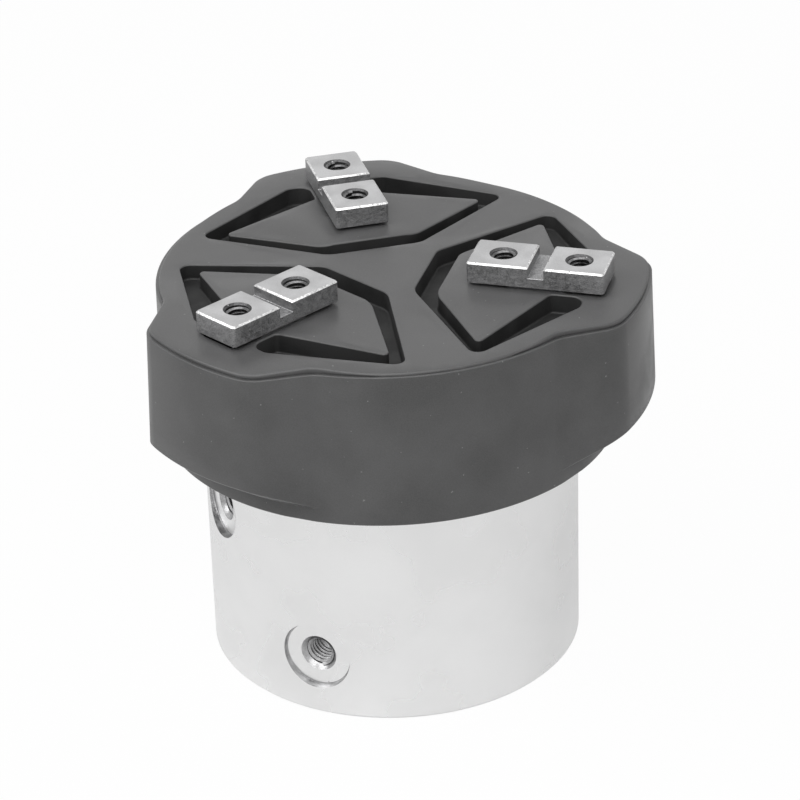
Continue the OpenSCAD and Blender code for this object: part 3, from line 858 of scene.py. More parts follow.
class CopyTree:
    """Geometry Nodes tree that sets one solid at every point, turned and dressed."""

    def __init__(self, name: str, inputs: dict[str, Socket]) -> None:
        """Makes the tree with its inputs.

        Args:
            name: The tree's name.
            inputs: Socket type by input name.
        """
        self.tree = bpy.data.node_groups.new(name, "GeometryNodeTree")
        add_socket(self.tree, "Geometry", Socket.GEOMETRY, "OUTPUT")
        self.inputs = {label: add_socket(self.tree, label, kind) for label, kind in inputs.items()}
        self.graph = Graph(self.tree)
        self.given = self.graph.node("NodeGroupInput").outputs

    def copy(
        self, points: bpy.types.NodeSocket, solid: bpy.types.NodeSocket, turn: bpy.types.NodeSocket,
        finish: Finish,
    ) -> None:
        """Adds the nodes that set the copies, make them real and dress them.

        Args:
            points: Where the copies stand.
            solid: What is copied.
            turn: How each copy is turned.
            finish: Their finish.
        """
        given = {"Points": points, "Instance": solid, "Rotation": turn}
        copies = self.graph.node("GeometryNodeInstanceOnPoints", given).outputs["Instances"]
        real = self.graph.node("GeometryNodeRealizeInstances", {"Geometry": copies}).outputs["Geometry"]
        given = {"Geometry": real, "Material": finish.material()}
        dressed = self.graph.node("GeometryNodeSetMaterial", given).outputs["Geometry"]
        self.graph.node("NodeGroupOutput", {"Geometry": dressed})

    def run(self, data: bpy.types.Mesh, sizes: dict[str, float]) -> bpy.types.Object:
        """Runs the tree on a mesh.

        Args:
            data: The mesh, whose name the piece takes.
            sizes: The tree's inputs, by name.

        Returns:
            One piece with every copy, in millimetres.
        """
        piece = bpy.data.objects.new(data.name, data)
        bpy.context.scene.collection.objects.link(piece)
        step = piece.modifiers.new("copies", "NODES")
        step.node_group = self.tree
        for label, size in sizes.items():
            step[self.inputs[label]] = size
        baked(piece)
        return piece


class ThreadTree(CopyTree):
    """Winds a thread's ridge at every point, along the point's own axis."""

    SIDES = 40
    SINK = 0.04

    def __init__(self, name: str, finish: Finish) -> None:
        """Builds the tree.

        Args:
            name: The tree's name.
            finish: The ridge's finish.
        """
        sizes = ("Pitch", "Turns", "Outer Radius", "Depth", "Root", "Crest")
        super().__init__(name, {"Holes": Socket.GEOMETRY, **dict.fromkeys(sizes, Socket.FLOAT)})
        graph = self.graph
        axis = graph.node("GeometryNodeInputNamedAttribute", {"Name": "axis"}, data_type="FLOAT_VECTOR")
        towards = {"Vector": axis.outputs["Attribute"]}
        turn = graph.node("FunctionNodeAlignRotationToVector", towards, axis="Z").outputs["Rotation"]
        self.copy(self.given["Holes"], self.ridge(), turn, finish)

    def ridge(self) -> bpy.types.NodeSocket:
        """Adds the nodes that sweep the ridge's section along the thread's helix.

        Returns:
            The ridge's geometry socket.
        """
        graph, given = self.graph, self.given
        helix = graph.node(
            "GeometryNodeCurveSpiral",
            {
                "Resolution": self.SIDES,
                "Rotations": given["Turns"],
                "Start Radius": given["Outer Radius"],
                "End Radius": given["Outer Radius"],
                "Height": graph.math("MULTIPLY", given["Turns"], given["Pitch"]),
            },
        ).outputs["Curve"]
        upright = graph.node("GeometryNodeSetCurveNormal", {"Curve": helix}, mode="Z_UP").outputs["Curve"]
        root, crest = (-self.SINK, given["Root"]), (given["Depth"], given["Crest"])
        corners = {}
        ends = ((root, -1.0), (root, 1.0), (crest, 1.0), (crest, -1.0))
        for number, ((depth, half), side) in enumerate(ends, start=1):
            corner = {"X": depth, "Y": graph.math("MULTIPLY", half, side)}
            corners[f"Point {number}"] = graph.node("ShaderNodeCombineXYZ", corner).outputs[0]
        section = graph.node("GeometryNodeCurvePrimitiveQuadrilateral", corners, mode="POINTS").outputs[0]
        sweep = {"Curve": upright, "Profile Curve": section, "Fill Caps": True}
        return graph.node("GeometryNodeCurveToMesh", sweep).outputs["Mesh"]

    def wound(
        self, name: str, thread: Thread, length: float, holes: Sequence[tuple[Vector, Vector]]
    ) -> bpy.types.Object:
        """Winds the thread in each hole.

        Args:
            name: The piece's name.
            thread: The thread's sizes.
            length: Its length.
            holes: Start and direction of the thread in each hole.

        Returns:
            One piece with every ridge, in millimetres.
        """
        data = bpy.data.meshes.new(name)
        data.from_pydata([start for start, _ in holes], [], [])
        axes = data.attributes.new("axis", "FLOAT_VECTOR", "POINT")
        for item, (_, axis) in zip(axes.data, holes):
            item.vector = axis
        return self.run(data, thread.sizes(length))


class RingTree(CopyTree):
    """Sets one solid round an axis, as often as it is asked to."""

    def __init__(self, name: str, solid: bpy.types.Object, finish: Finish) -> None:
        """Builds the tree.

        Args:
            name: The tree's name.
            solid: The solid that is repeated.
            finish: Its finish.
        """
        super().__init__(name, {"Count": Socket.INT, "Radius": Socket.FLOAT, "First Angle": Socket.FLOAT})
        graph, given = self.graph, self.given
        row = graph.node("GeometryNodeMeshLine", {"Count": given["Count"]}).outputs["Mesh"]
        number = graph.node("GeometryNodeInputIndex").outputs[0]
        share = graph.math("DIVIDE", graph.math("MULTIPLY", number, math.tau), given["Count"])
        angle = graph.math("ADD", share, given["First Angle"])
        across = graph.math("MULTIPLY", graph.math("COSINE", angle), given["Radius"])
        along = graph.math("MULTIPLY", graph.math("SINE", angle), given["Radius"])
        place = graph.node("ShaderNodeCombineXYZ", {"X": across, "Y": along}).outputs[0]
        points = graph.node("GeometryNodeSetPosition", {"Geometry": row, "Position": place}).outputs[0]
        source = graph.node("GeometryNodeObjectInfo", {"Object": solid}).outputs["Geometry"]
        turn = graph.node("ShaderNodeCombineXYZ", {"Z": angle}).outputs[0]
        self.copy(points, source, turn, finish)

    def ring(self, name: str, count: int, radius: float, first: float) -> bpy.types.Object:
        """Sets the copies on a circle.

        Args:
            name: The piece's name.
            count: Number of copies.
            radius: Radius of their circle.
            first: Direction of the first copy, in degrees.

        Returns:
            One piece with every copy, in millimetres.
        """
        sizes = {"Count": count, "Radius": radius, "First Angle": math.radians(first)}
        return self.run(bpy.data.meshes.new(name), sizes)


# ---- the frame's own sizes ----------------------------------------------


@dataclass(frozen=True)
class Levels:
    """Heights and radii that the pieces take from the frame.

    `ledge_rise` is how far the housing's ledge stands above its solid, and `jaw_offset` is how far out
    the middle between a plate's holes lies from the plate's own. SEAL_RISE is the rod seal's height above
    the chamber, BORE_GAP the end cap's gap in the bore, and BUSH_WALL the bush's wall round the rod.
    """

    SEAL_RISE = 1.6
    BORE_GAP = 0.05
    BUSH_WALL = 1.95

    body_r: float
    body_h: float
    lobe_r: float
    skirt_z: float
    parting_z: float
    cover_z0: float
    plate_z: float
    plate_top: float
    jaw_x0: float
    jaw_x1: float
    jaw_w: float
    chamber_z1: float
    bore_r: float
    ring_z0: float
    ring_z1: float
    rod_r: float
    screw_z: float
    screw_top: float
    ledge_rise: float = 0.3
    jaw_offset: float = 0.1

    def ledge_z(self) -> float:
        """Gives the height of the housing's ledge, where the cover's edge starts."""
        return self.parting_z + self.ledge_rise

    def jaw_middle(self) -> float:
        """Gives the middle of jaw 1's plate, between its holes."""
        return (self.jaw_x0 + self.jaw_x1) / 2 + self.jaw_offset

    @classmethod
    def read(cls) -> Levels:
        """Reads the sizes from the nodes' boxes.

        Returns:
            The levels.
        """
        body, housing, cover = box_mm("cylinder_body"), box_mm("head_housing"), box_mm("top_cover")
        plate, cap, ring = box_mm("jaw_plate_1"), box_mm("end_cap"), box_mm("snap_ring")
        seal, bush, screws = box_mm("rod_seal"), box_mm("rod_bush"), box_mm("cover_screws")
        return cls(
            body_r=body[1].x, body_h=body[1].z, lobe_r=housing[1].x, skirt_z=housing[0].z,
            parting_z=housing[1].z, cover_z0=cover[0].z, plate_z=plate[0].z, plate_top=plate[1].z,
            jaw_x0=plate[0].x, jaw_x1=plate[1].x, jaw_w=plate[1].y - plate[0].y,
            chamber_z1=seal[0].z - cls.SEAL_RISE, bore_r=cap[1].x + cls.BORE_GAP,
            ring_z0=ring[0].z, ring_z1=ring[1].z, rod_r=bush[1].x - cls.BUSH_WALL,
            screw_z=screws[0].z, screw_top=screws[1].z,
        )


@dataclass(frozen=True)
class HeadOutline:
    """The head's outline with its three lobes.

    `steps` holds the sides of the lobe's end, its corner, the hollow and the round part.
    """

    lobe_r: float
    round_r: float
    corner_r: float = 7.0
    corner_a: float = 12.8
    hollow_r: float = 5.8
    hollow_a: float = 30.4
    steps: tuple[int, int, int, int] = (7, 14, 14, 16)

    def half(self, back: float) -> list[Vector]:
        """Gives half a lobe, from its jaw's axis to the middle of the round part.

        Args:
            back: How far the outline stands back from the widest one.

        Returns:
            The points in the plane.
        """
        middle = Vector((0, 0))
        corner = polar(self.lobe_r - self.corner_r, self.corner_a)
        hollow = polar(self.round_r + self.hollow_r, self.hollow_a)
        between = hollow - corner
        lean = math.degrees(math.acos((self.corner_r + self.hollow_r) / between.length))
        flank = math.degrees(math.atan2(between.y, between.x)) - lean
        end_steps, corner_steps, hollow_steps, round_steps = self.steps
        points = [Vector((self.lobe_r - back, 0))]
        points += arc(middle, self.lobe_r - back, 0, self.corner_a, end_steps)
        points += arc(corner, self.corner_r - back, self.corner_a, flank, corner_steps)
        points += arc(hollow, self.hollow_r + back, flank + 180, self.hollow_a + 180, hollow_steps)
        points += arc(middle, self.round_r - back, self.hollow_a, SCREW_ANGLE, round_steps)
        return points

    def loop(self, back: float) -> list[Vector]:
        """Gives the whole outline, counter-clockwise.

        Args:
            back: How far it stands back from the widest one.

        Returns:
            The closed loop.
        """
        half = self.half(back)
        lobe = [Vector((p.x, -p.y)) for p in reversed(half[1:-1])] + half
        return [p @ Matrix.Rotation(-math.radians(n * JAW_STEP), 2) for n in range(JAW_COUNT) for p in lobe]


# ---- sub-assemblies -----------------------------------------------------


class BodyFace(IntEnum):
    """The kinds of faces on the cylinder body, by the place of their finish; faces cut into a port take
    painted shade.
    """

    TURNED = 0
    PORT = 1


@dataclass
class CylinderBody:
    """The aluminium body with its ports and the holes of its base face.

    `port_foot` gives the inset and the rise of each point of the rounded foot of a port's recess, and
    the `slack` fields say how far a face may lie from a size and still count as lying on it.
    """

    levels: Levels
    ports: Sequence[dict]
    steps: int = 216
    wall_rings: int = 24
    base_chamfer: float = 0.6
    bore_chamfer: float = 0.5
    groove_depth: float = 1.25
    groove_gap: float = 0.05
    bush_wall: float = 2.0
    seal_rise: float = 1.5
    seal_h: float = 3.0
    seal_wall: float = 1.0
    rod_gap: float = 0.15
    port_face_r: float = 6.1
    port_face_depth: float = 1.3
    port_foot: tuple[tuple[float, float], ...] = ((0.35, 0.0), (0.1, 0.08), (0.0, 0.35))
    port_reach: float = 6.0
    port_chamfer: float = 0.75
    airway_r: float = 1.25
    drill_cone: float = 0.7
    thread_l: float = 4.4
    thread_sink: float = 0.5
    thread_inset: float = 0.2
    base_pcr: float = 27.0
    base_thread_l: float = 8.0
    base_thread_z: float = 0.6
    base_thread_inset: float = 1.4
    base_hole_chamfer: float = 0.4
    dowel_r: float = 2.0
    dowel_l: float = 6.0
    dowel_chamfer: float = 0.3
    ease: float = 0.12
    rim_slack: float = 0.05
    wall_slack: float = 0.03
    flat_slack: float = 0.02
    bore_slack: float = 0.3

    def profile(self) -> list[tuple[float, float]]:
        """Gives the body's closed profile, with rings up its wall that keep the ports' faces small.

        Returns:
            Radius and height of each point.
        """
        at, chamfer, rings = self.levels, self.base_chamfer, self.wall_rings
        rise = [(at.body_r, chamfer + (at.body_h - chamfer) * i / rings) for i in range(rings + 1)]
        bush_r, rod_hole_r = at.rod_r + self.bush_wall, at.rod_r + self.rod_gap
        seal_r, seal_z = bush_r + self.seal_wall, at.chamber_z1 + self.seal_rise
        groove_r = at.bore_r + self.groove_depth
        low, high = at.ring_z0 - self.groove_gap, at.ring_z1 + self.groove_gap
        return [
            (at.bore_r + self.bore_chamfer, 0), (at.body_r - chamfer, 0), *rise,
            (bush_r, at.body_h), (bush_r, seal_z + self.seal_h), (seal_r, seal_z + self.seal_h),
            (seal_r, seal_z), (rod_hole_r, seal_z), (rod_hole_r, at.chamber_z1), (at.bore_r, at.chamber_z1),
            (at.bore_r, high), (groove_r, high), (groove_r, low), (at.bore_r, low),
            (at.bore_r, self.bore_chamfer),
        ]

    def port_face(self) -> float:
        """Gives the distance of a port's flat face from the body's axis."""
        return self.levels.body_r - self.port_face_depth

    @staticmethod
    def port_line(port: dict) -> tuple[Vector, Vector]:
        """Gives the point on the body's axis that a port faces away from, and the port's direction.

        Args:
            port: The port's entry in the record.

        Returns:
            The point and the direction.
        """
        return Vector((0, 0, port["pos_m"][2] / MM)), Vector(port["axis"])

    def port_tool(self, port: dict) -> bpy.types.Object:
        """Makes the solid that a port takes out of the body.

        Args:
            port: The port's entry in the record.

        Returns:
            The tool in its place.
        """
        face, rim = self.port_face(), self.port_face_r
        start, major, airway = self.levels.bore_r - 2 * PAST, PORT_THREAD.outer_r, self.airway_r
        core_end, end = face - self.thread_l - self.drill_cone, face + self.port_reach
        tool = lathe("port_tool", [
            (0, start), (airway, start), (airway, core_end - self.drill_cone), (major, core_end),
            (major, face - self.port_chamfer), (major + self.port_chamfer, face),
            *[(rim - inset, face + rise) for inset, rise in self.port_foot], (rim, end), (0, end),
        ], steps=72)
        middle, axis = self.port_line(port)
        return turned_to(tool, axis, middle)

    def hole_tool(self, radius: float, depth: float, chamfer: float, angle: float) -> bpy.types.Object:
        """Makes the solid that a hole takes out of the base face.

        Args:
            radius: The hole's radius.
            depth: Its depth.
            chamfer: Width of its chamfer.
            angle: Its direction from the axis.

        Returns:
            The tool in its place.
        """
        tool = lathe("hole_tool", [
            (0, -PAST), (radius + chamfer, -PAST), (radius + chamfer, 0), (radius, chamfer), (radius, depth),
            (0, depth + radius * DRILL_POINT),
        ], steps=40)
        return turned_to(tool, UP, polar(self.base_pcr, angle).to_3d())

    def kind(self, face: bpy.types.MeshPolygon) -> BodyFace:
        """Tells what a face is: cut into a port, or turned, as a port's flat face is too.

        Args:
            face: A face of the body.

        Returns:
            Its kind.
        """
        centre = Vector(face.center)
        for port in self.ports:
            middle, axis = self.port_line(port)
            away = centre - middle
            along = away.dot(axis)
            across = (away - axis * along).length
            deep = along > self.levels.bore_r + self.bore_slack
            below_wall = centre.to_2d().length < self.levels.body_r - self.wall_slack
            if deep and below_wall and across < self.port_face_r + self.rim_slack:
                return BodyFace.PORT if abs(along - self.port_face()) > self.flat_slack else BodyFace.TURNED
        return BodyFace.TURNED

    def build(self) -> None:
        """Builds the body, then the threads in its ports and base holes."""
        body = lathe("body_tube", self.profile(), self.steps)
        cut(body, *[self.port_tool(port) for port in self.ports])
        for angle in SCREW_ANGLES:
            cut(body, self.hole_tool(JAW_THREAD.outer_r, self.base_thread_l, self.base_hole_chamfer, angle))
        for angle in (0, JAW_STEP):
            cut(body, self.hole_tool(self.dowel_r, self.dowel_l, self.dowel_chamfer, angle))
        ease_edges(body, self.ease)
        kinds = [self.kind(face) for face in body.data.polygons]
        # Faces cut into a port take the painted shade.
        finishes = [SATIN_ALUMINIUM, PORT_SHADED_ALUMINIUM]
        settle(body, Body.HOUSING, Slot.SATIN_ALUMINIUM, finishes, ["cylinder_body"])
        body.data.polygons.foreach_set("material_index", kinds)
        self.threads()

    def threads(self) -> None:
        """Winds the ports' threads and those of the base holes."""
        # The port threads take the painted shade too.
        winder = ThreadTree("port_thread", PORT_SHADED_ALUMINIUM)
        deep = self.port_face() - self.thread_l - self.thread_sink
        lines = [self.port_line(port) for port in self.ports]
        holes = [(axis * deep + middle, axis) for middle, axis in lines]
        piece = winder.wound("port_threads", PORT_THREAD, self.thread_l - self.thread_inset, holes)
        settle(piece, Body.HOUSING, Slot.SATIN_ALUMINIUM, [PORT_SHADED_ALUMINIUM])
        start = Vector((0, 0, self.base_thread_z))
        holes = [(polar(self.base_pcr, angle).to_3d() + start, UP) for angle in SCREW_ANGLES]
        piece = winder.wound("base_threads", JAW_THREAD, self.base_thread_l - self.base_thread_inset, holes)
        settle(piece, Body.HOUSING, Slot.SATIN_ALUMINIUM, [SATIN_ALUMINIUM])


@dataclass
class HeadHousing:
    """The moulded housing: a round skirt, three lobes with a conical underside, and the cover's ledge.

    The wall stands out by `flare` at the foot of the lobes and in by `lean` at the top, and `bend` holds
    the directions at which a rounded edge has a ring.
    """

    levels: Levels
    outline: HeadOutline
    screw_pcr: float
    wall: float = 2.6
    wall_rings: int = 6
    skirt_inset: float = 0.12
    body_gap: float = 0.15
    mouth_chamfer: float = 0.3
    flare: float = 0.3
    lean: float = 0.4
    edge_r: float = 0.3
    ledge_r: float = 0.18
    lobe_rise: float = 2.55
    crease: float = 0.15
    foot_rise: float = 0.1
    slope: float = 35.0
    screw_clear_r: float = 1.35
    screw_seat: float = 2.9
    counterbore_r: float = 2.4
    counterbore_chamfer: float = 0.2
    bend: tuple[float, ...] = (0.0, 30.0, 60.0, 90.0)

    def skirt_r(self) -> float:
        """Gives the skirt's radius."""
        return self.outline.round_r - self.skirt_inset

    def under_z(self, radius: float) -> float:
        """Gives the height of the lobes' underside at a radius."""
        rise = (radius - self.skirt_r()) * math.tan(math.radians(self.slope))
        return self.levels.skirt_z + self.lobe_rise + max(rise, 0.0)

    def round_ring(self, radius: float, z: float) -> list[Vector]:
        """Gives a round ring at height z whose points lie in the same directions as the outline's."""
        return [(p.normalized() * radius).to_3d() + Vector((0, 0, z)) for p in self.outline.loop(0)]

    def wall_ring(self, share: float) -> list[Vector]:
        """Gives a ring on the outer wall, which leans inwards as it rises.

        Args:
            share: 0 at the wall's foot and 1 just below the ledge.

        Returns:
            The ring.
        """
        lobe, head = self.outline.lobe_r, self.outline.round_r
        top_z = self.levels.ledge_z() - self.ledge_r
        ring = []
        for p, q in zip(self.outline.loop(0), self.outline.loop(1)):
            lobed = min(max((p.length - head) / (lobe - head), 0.0), 1.0)
            foot = self.skirt_inset * (1 - lobed) - self.flare * lobed
            low = self.under_z((p + (q - p) * foot).length) + self.edge_r
            place = p + (q - p) * (foot + (self.lean - foot) * share)
            ring.append(Vector((place.x, place.y, low + (top_z - low) * share)))
        return ring

    def under_ring(self, share: float) -> list[Vector]:
        """Gives a ring on the lobes' underside.

        Args:
            share: 0 at the skirt and 1 at the wall's foot.

        Returns:
            The ring.
        """
        ring = []
        for foot in self.wall_ring(0.0):
            flat = foot.to_2d()
            reach = max(flat.length - self.edge_r - self.skirt_r(), 0.0)
            radius = self.skirt_r() + reach * share
            place = flat.normalized() * radius
            ring.append(Vector((place.x, place.y, self.under_z(radius) + self.foot_rise * share)))
        return ring

    def rings(self) -> list[list[Vector]]:
        """Gives the housing's rings, from the opening up the outside and down the inside.

        Returns:
            The rings, which all have the outline's number of points.
        """
        at, edge, lip, mouth = self.levels, self.edge_r, self.ledge_r, self.mouth_chamfer
        opening = at.body_r + self.body_gap
        inner_r = self.outline.round_r - self.wall - self.body_gap
        thickness = self.wall / math.cos(math.radians(self.slope))
        floor_z = self.under_z(self.outline.lobe_r - self.wall) + thickness
        rings = [self.round_ring(opening, at.skirt_z + mouth), self.round_ring(opening + mouth, at.skirt_z)]
        for turn in map(math.radians, self.bend):
            radius = self.skirt_r() - edge * (1 - math.sin(turn))
            rings.append(self.round_ring(radius, at.skirt_z + edge * (1 - math.cos(turn))))
        rings.append(self.round_ring(self.skirt_r(), at.skirt_z + self.lobe_rise - self.crease))
        rings += [self.under_ring(share) for share in (0.0, 0.5, 1.0)]
        rings += [self.wall_ring(n / self.wall_rings) for n in range(self.wall_rings + 1)]
        for turn in map(math.radians, self.bend[1:]):
            loop = self.outline.loop(self.lean + lip * (1 - math.cos(turn)))
            rings.append(lifted(loop, at.ledge_z() - lip * (1 - math.sin(turn))))
        inner = self.outline.loop(self.wall)
        rings += [
            lifted(inner, at.ledge_z()), lifted(inner, floor_z), self.round_ring(inner_r, floor_z),
            self.round_ring(inner_r, at.body_h), self.round_ring(opening, at.body_h),
        ]
        return rings

    def screw_tool(self) -> bpy.types.Object:
        """Makes the solid that a cover screw's hole takes out of the housing.

        Returns:
            The tool, still on the head's axis.
        """
        low, high = self.levels.skirt_z, self.levels.body_h + PAST
        head, shank, seat = self.counterbore_r, self.screw_clear_r, self.levels.skirt_z + self.screw_seat
        mouth = head + self.counterbore_chamfer
        return lathe("screw_tool", [
            (0, low - PAST), (mouth, low - PAST), (mouth, low), (head, low + self.counterbore_chamfer),
            (head, seat), (shank, seat), (shank, high), (0, high),
        ], steps=40)

    def build(self) -> None:
        """Builds the housing and cuts its screw holes."""
        mesh = bmesh.new()
        rows = [[mesh.verts.new(p) for p in ring] for ring in self.rings()]
        skin(mesh, [*rows, rows[0]])
        shell = new_piece("housing_shell", mesh)
        for angle in SCREW_ANGLES:
            cut(shell, turned_to(self.screw_tool(), UP, polar(self.screw_pcr, angle).to_3d()))
        settle(shell, Body.HOUSING, Slot.HEAD_PLASTIC, [HEAD_PLASTIC], ["head_housing"], smooth=40)


class CoverFace(IntEnum):
    """The kinds of faces on the cover, by the place of their finish; the pockets' faces take painted shade.
    """

    OUTER = 0
    POCKET = 1


@dataclass
class TopCover:
    """The moulded cover: a very flat cone with a C-shaped pocket round each jaw.

    Its face stands `high_rise` above the ledge along the jaws and in the middle, and falls to `low_rise`
    between the directions of `fall_a` and the radii of `fall_r`. It falls by `lobe_fall` between the
    radii of `lobe_fall_r`. The face is filled with triangles in rows, `grid` apart along a row.
    """

    levels: Levels
    outline: HeadOutline
    rim_inset: float = 0.9
    rim_step: float = 0.12
    edge_r: float = 0.4
    wall_back: float = 2.8
    low_rise: float = 0.45
    high_rise: float = 1.1
    fall_a: tuple[float, float] = (24.0, 46.0)
    fall_r: tuple[float, float] = (8.0, 19.0)
    lobe_fall: float = 0.3
    lobe_fall_r: tuple[float, float] = (38.5, 44.5)
    floor_t: float = 1.3
    pocket_edge_r: float = 0.25
    pocket_foot_r: float = 0.35
    pocket_rim: float = 3.75
    pocket_corner_a: float = 50.9
    pocket_end: float = 9.75
    leaf_neck: float = 4.9
    slot_half: float = 3.7
    slot_back: float = 5.03
    slot_front: float = 4.77
    slot_travel: float = 6.2
    slot_corner: float = 0.5
    slot_chamfer: float = 0.15
    grid: float = 1.7
    row_share: float = 0.866
    edge_share: float = 0.45
    bend: tuple[float, ...] = (0.0, 22.5, 45.0, 67.5, 90.0)
    inner_slack: float = 0.5
    ledge_slack: float = 0.3

    def pocket(self) -> list[Vector]:
        """Gives jaw 1's pocket, by one side's corners and their mirror images.

        Returns:
            The counter-clockwise loop, with each corner rounded by the radius after its X and Y.
        """
        corner = polar(self.outline.round_r - self.pocket_rim, self.pocket_corner_a)
        end, neck = self.outline.lobe_r - self.pocket_end, self.leaf_neck
        side = [
            (7, 7.7, 4), (corner.x, corner.y, 1.7), (end, neck + 3.6, 2.4), (end, neck, 2.2),
            (end - 5.6, neck, 1), (corner.x - 0.5, corner.y - 4.2, 0.8), (10.9, 7.9, 5),
        ]
        return rounded(side + [(x, -y, r) for x, y, r in reversed(side)])

    def slot(self) -> list[Vector]:
        """Gives the slot for jaw 1's neck.

        Returns:
            The counter-clockwise loop.
        """
        middle, half, corner = self.levels.jaw_middle(), self.slot_half, self.slot_corner
        low, high = middle - self.slot_back, middle + self.slot_front + self.slot_travel
        ends = ((low, -half), (high, -half), (high, half), (low, half))
        return rounded([(x, y, corner) for x, y in ends], steps=4)

    def height(self, point: Vector) -> float:
        """Gives the height of the upper face: high along the jaws and in the middle, low between the jaws.

        Args:
            point: A point in the plane.

        Returns:
            Its height.
        """
        around = math.degrees(math.atan2(point.y, point.x))
        aside = abs(around - round(around / JAW_STEP) * JAW_STEP)
        high = 1 - min(eased(aside, *self.fall_a), eased(point.length, *self.fall_r))
        rise = self.high_rise - self.low_rise - self.lobe_fall * eased(point.length, *self.lobe_fall_r)
        return self.levels.ledge_z() + self.low_rise + rise * high

    def draped(self, loop: Sequence[Vector], drop: float) -> list[Vector]:
        """Lays a plane loop on the upper face, lowered by drop."""
        return [Vector((p.x, p.y, self.height(p) - drop)) for p in loop]

    def around(self, loop: Sequence[Vector]) -> list[list[Vector]]:
        """Repeats a loop for each jaw."""
        return [[p @ Matrix.Rotation(-math.radians(n * JAW_STEP), 2) for p in loop] for n in range(JAW_COUNT)]

    def faced(
        self, mesh: bmesh.types.BMesh, edge: list[bmesh.types.BMVert], holes: list[list[bmesh.types.BMVert]],
        height: Callable[[Vector], float], dense: bool,
    ) -> None:
        """Fills the face inside an edge loop and outside its holes with triangles.

        Args:
            mesh: The mesh to add to.
            edge: Vertices of the outer loop.
            holes: Vertices of each hole's loop.
            height: Height of the face at a point.
            dense: Whether points inside the face follow its shape.
        """
        loops = [edge, *holes]
        flat = [[v.co.to_2d() for v in loop] for loop in loops]
        verts = [v for loop in loops for v in loop]
        if dense:
            reach = int(self.outline.lobe_r / self.grid) + 1
            for i in range(-reach, reach + 1):
                for j in range(-reach, reach + 1):
                    p = Vector(((i + 0.5 * (j % 2)) * self.grid, j * self.grid * self.row_share))
                    near = min(distance_to(p, loop) for loop in flat) < self.edge_share * self.grid
                    if not near and inside(p, flat[0]) and not any(inside(p, hole) for hole in flat[1:]):
                        verts.append(mesh.verts.new((p.x, p.y, height(p))))
        sides, first = [], 0
        for loop in loops:
            sides += [(first + i, first + (i + 1) % len(loop)) for i in range(len(loop))]
            first += len(loop)
        points, _, faces, origin, *_ = delaunay_2d_cdt([v.co.to_2d() for v in verts], sides, [], 0, TINY)
        for face in faces:
            middle = sum((points[i] for i in face), Vector((0, 0))) / 3
            if inside(middle, flat[0]) and not any(inside(middle, hole) for hole in flat[1:]):
                mesh.faces.new([verts[origin[i][0]] for i in face])

    def rounding(self, radius: float) -> list[tuple[float, float]]:
        """Gives drop and inset of a rounded edge's points, from the wall to the face."""
        turns = [math.radians(a) for a in self.bend]
        return [(radius * (1 - math.sin(a)), radius * (1 - math.cos(a))) for a in turns]

    def kinds(self, mesh: bmesh.types.BMesh) -> list[CoverFace]:
        """Tells what each face is: a pocket's, which is painted in shade, or another one.

        Args:
            mesh: The whole cover.

        Returns:
            The faces' kinds, in their order.
        """
        low, high = self.levels.cover_z0 + self.inner_slack, self.levels.ledge_z() - self.ledge_slack
        core = self.outline.loop(self.wall_back - self.inner_slack)
        kinds = []
        for face in mesh.faces:
            middle = face.calc_center_median()
            deep = low < middle.z < high and inside(middle.to_2d(), core)
            kinds.append(CoverFace.POCKET if deep else CoverFace.OUTER)
        return kinds

    def build(self) -> None:
        """Builds the cover: its edge, its pockets and slots, then the faces between them."""
        at = self.levels
        mesh = bmesh.new()

        def ring(points: Sequence[Vector]) -> list[bmesh.types.BMVert]:
            """Adds a ring of vertices."""
            return [mesh.verts.new(p) for p in points]

        inset, edge_rounding = self.rim_inset, self.rounding(self.edge_r)
        rows = [
            ring(lifted(self.outline.loop(self.wall_back), at.cover_z0)),
            ring(lifted(self.outline.loop(self.wall_back), at.ledge_z())),
            ring(lifted(self.outline.loop(inset + self.rim_step), at.ledge_z())),
            *[ring(self.draped(self.outline.loop(inset + back), drop)) for drop, back in edge_rounding],
        ]
        skin(mesh, rows)
        under, top = rows[0], rows[-1]
        pocket_z = at.cover_z0 + self.floor_t
        lip, foot = self.rounding(self.pocket_edge_r), self.rounding(self.pocket_foot_r)
        mouths = []
        for loop in self.around(self.pocket()):
            walls = [ring(self.draped(spread(loop, back), drop)) for drop, back in reversed(lip)]
            walls += [ring(lifted(spread(loop, -back), pocket_z + drop)) for drop, back in foot]
            skin(mesh, walls)
            self.faced(mesh, walls[-1], [], lambda p: pocket_z, dense=False)
            mouths.append(walls[0])
        chamfer = self.slot_chamfer
        sleeves = []
        for loop in self.around(self.slot()):
            walls = [
                ring(self.draped(spread(loop, chamfer), 0)),
                ring(self.draped(loop, chamfer)),
                ring(lifted(loop, at.cover_z0)),
            ]
            skin(mesh, walls)
            mouths.append(walls[0])
            sleeves.append(walls[-1])
        self.faced(mesh, top, mouths, self.height, dense=True)
        self.faced(mesh, under, sleeves, lambda p: at.cover_z0, dense=False)
        kinds = self.kinds(mesh)
        cover = new_piece("cover", mesh)
        # The pockets take the painted shade.
        finishes = [HEAD_PLASTIC, POCKET_SHADED_PLASTIC]
        settle(cover, Body.HOUSING, Slot.HEAD_PLASTIC, finishes, ["top_cover"], smooth=50)
        cover.data.polygons.foreach_set("material_index", kinds)


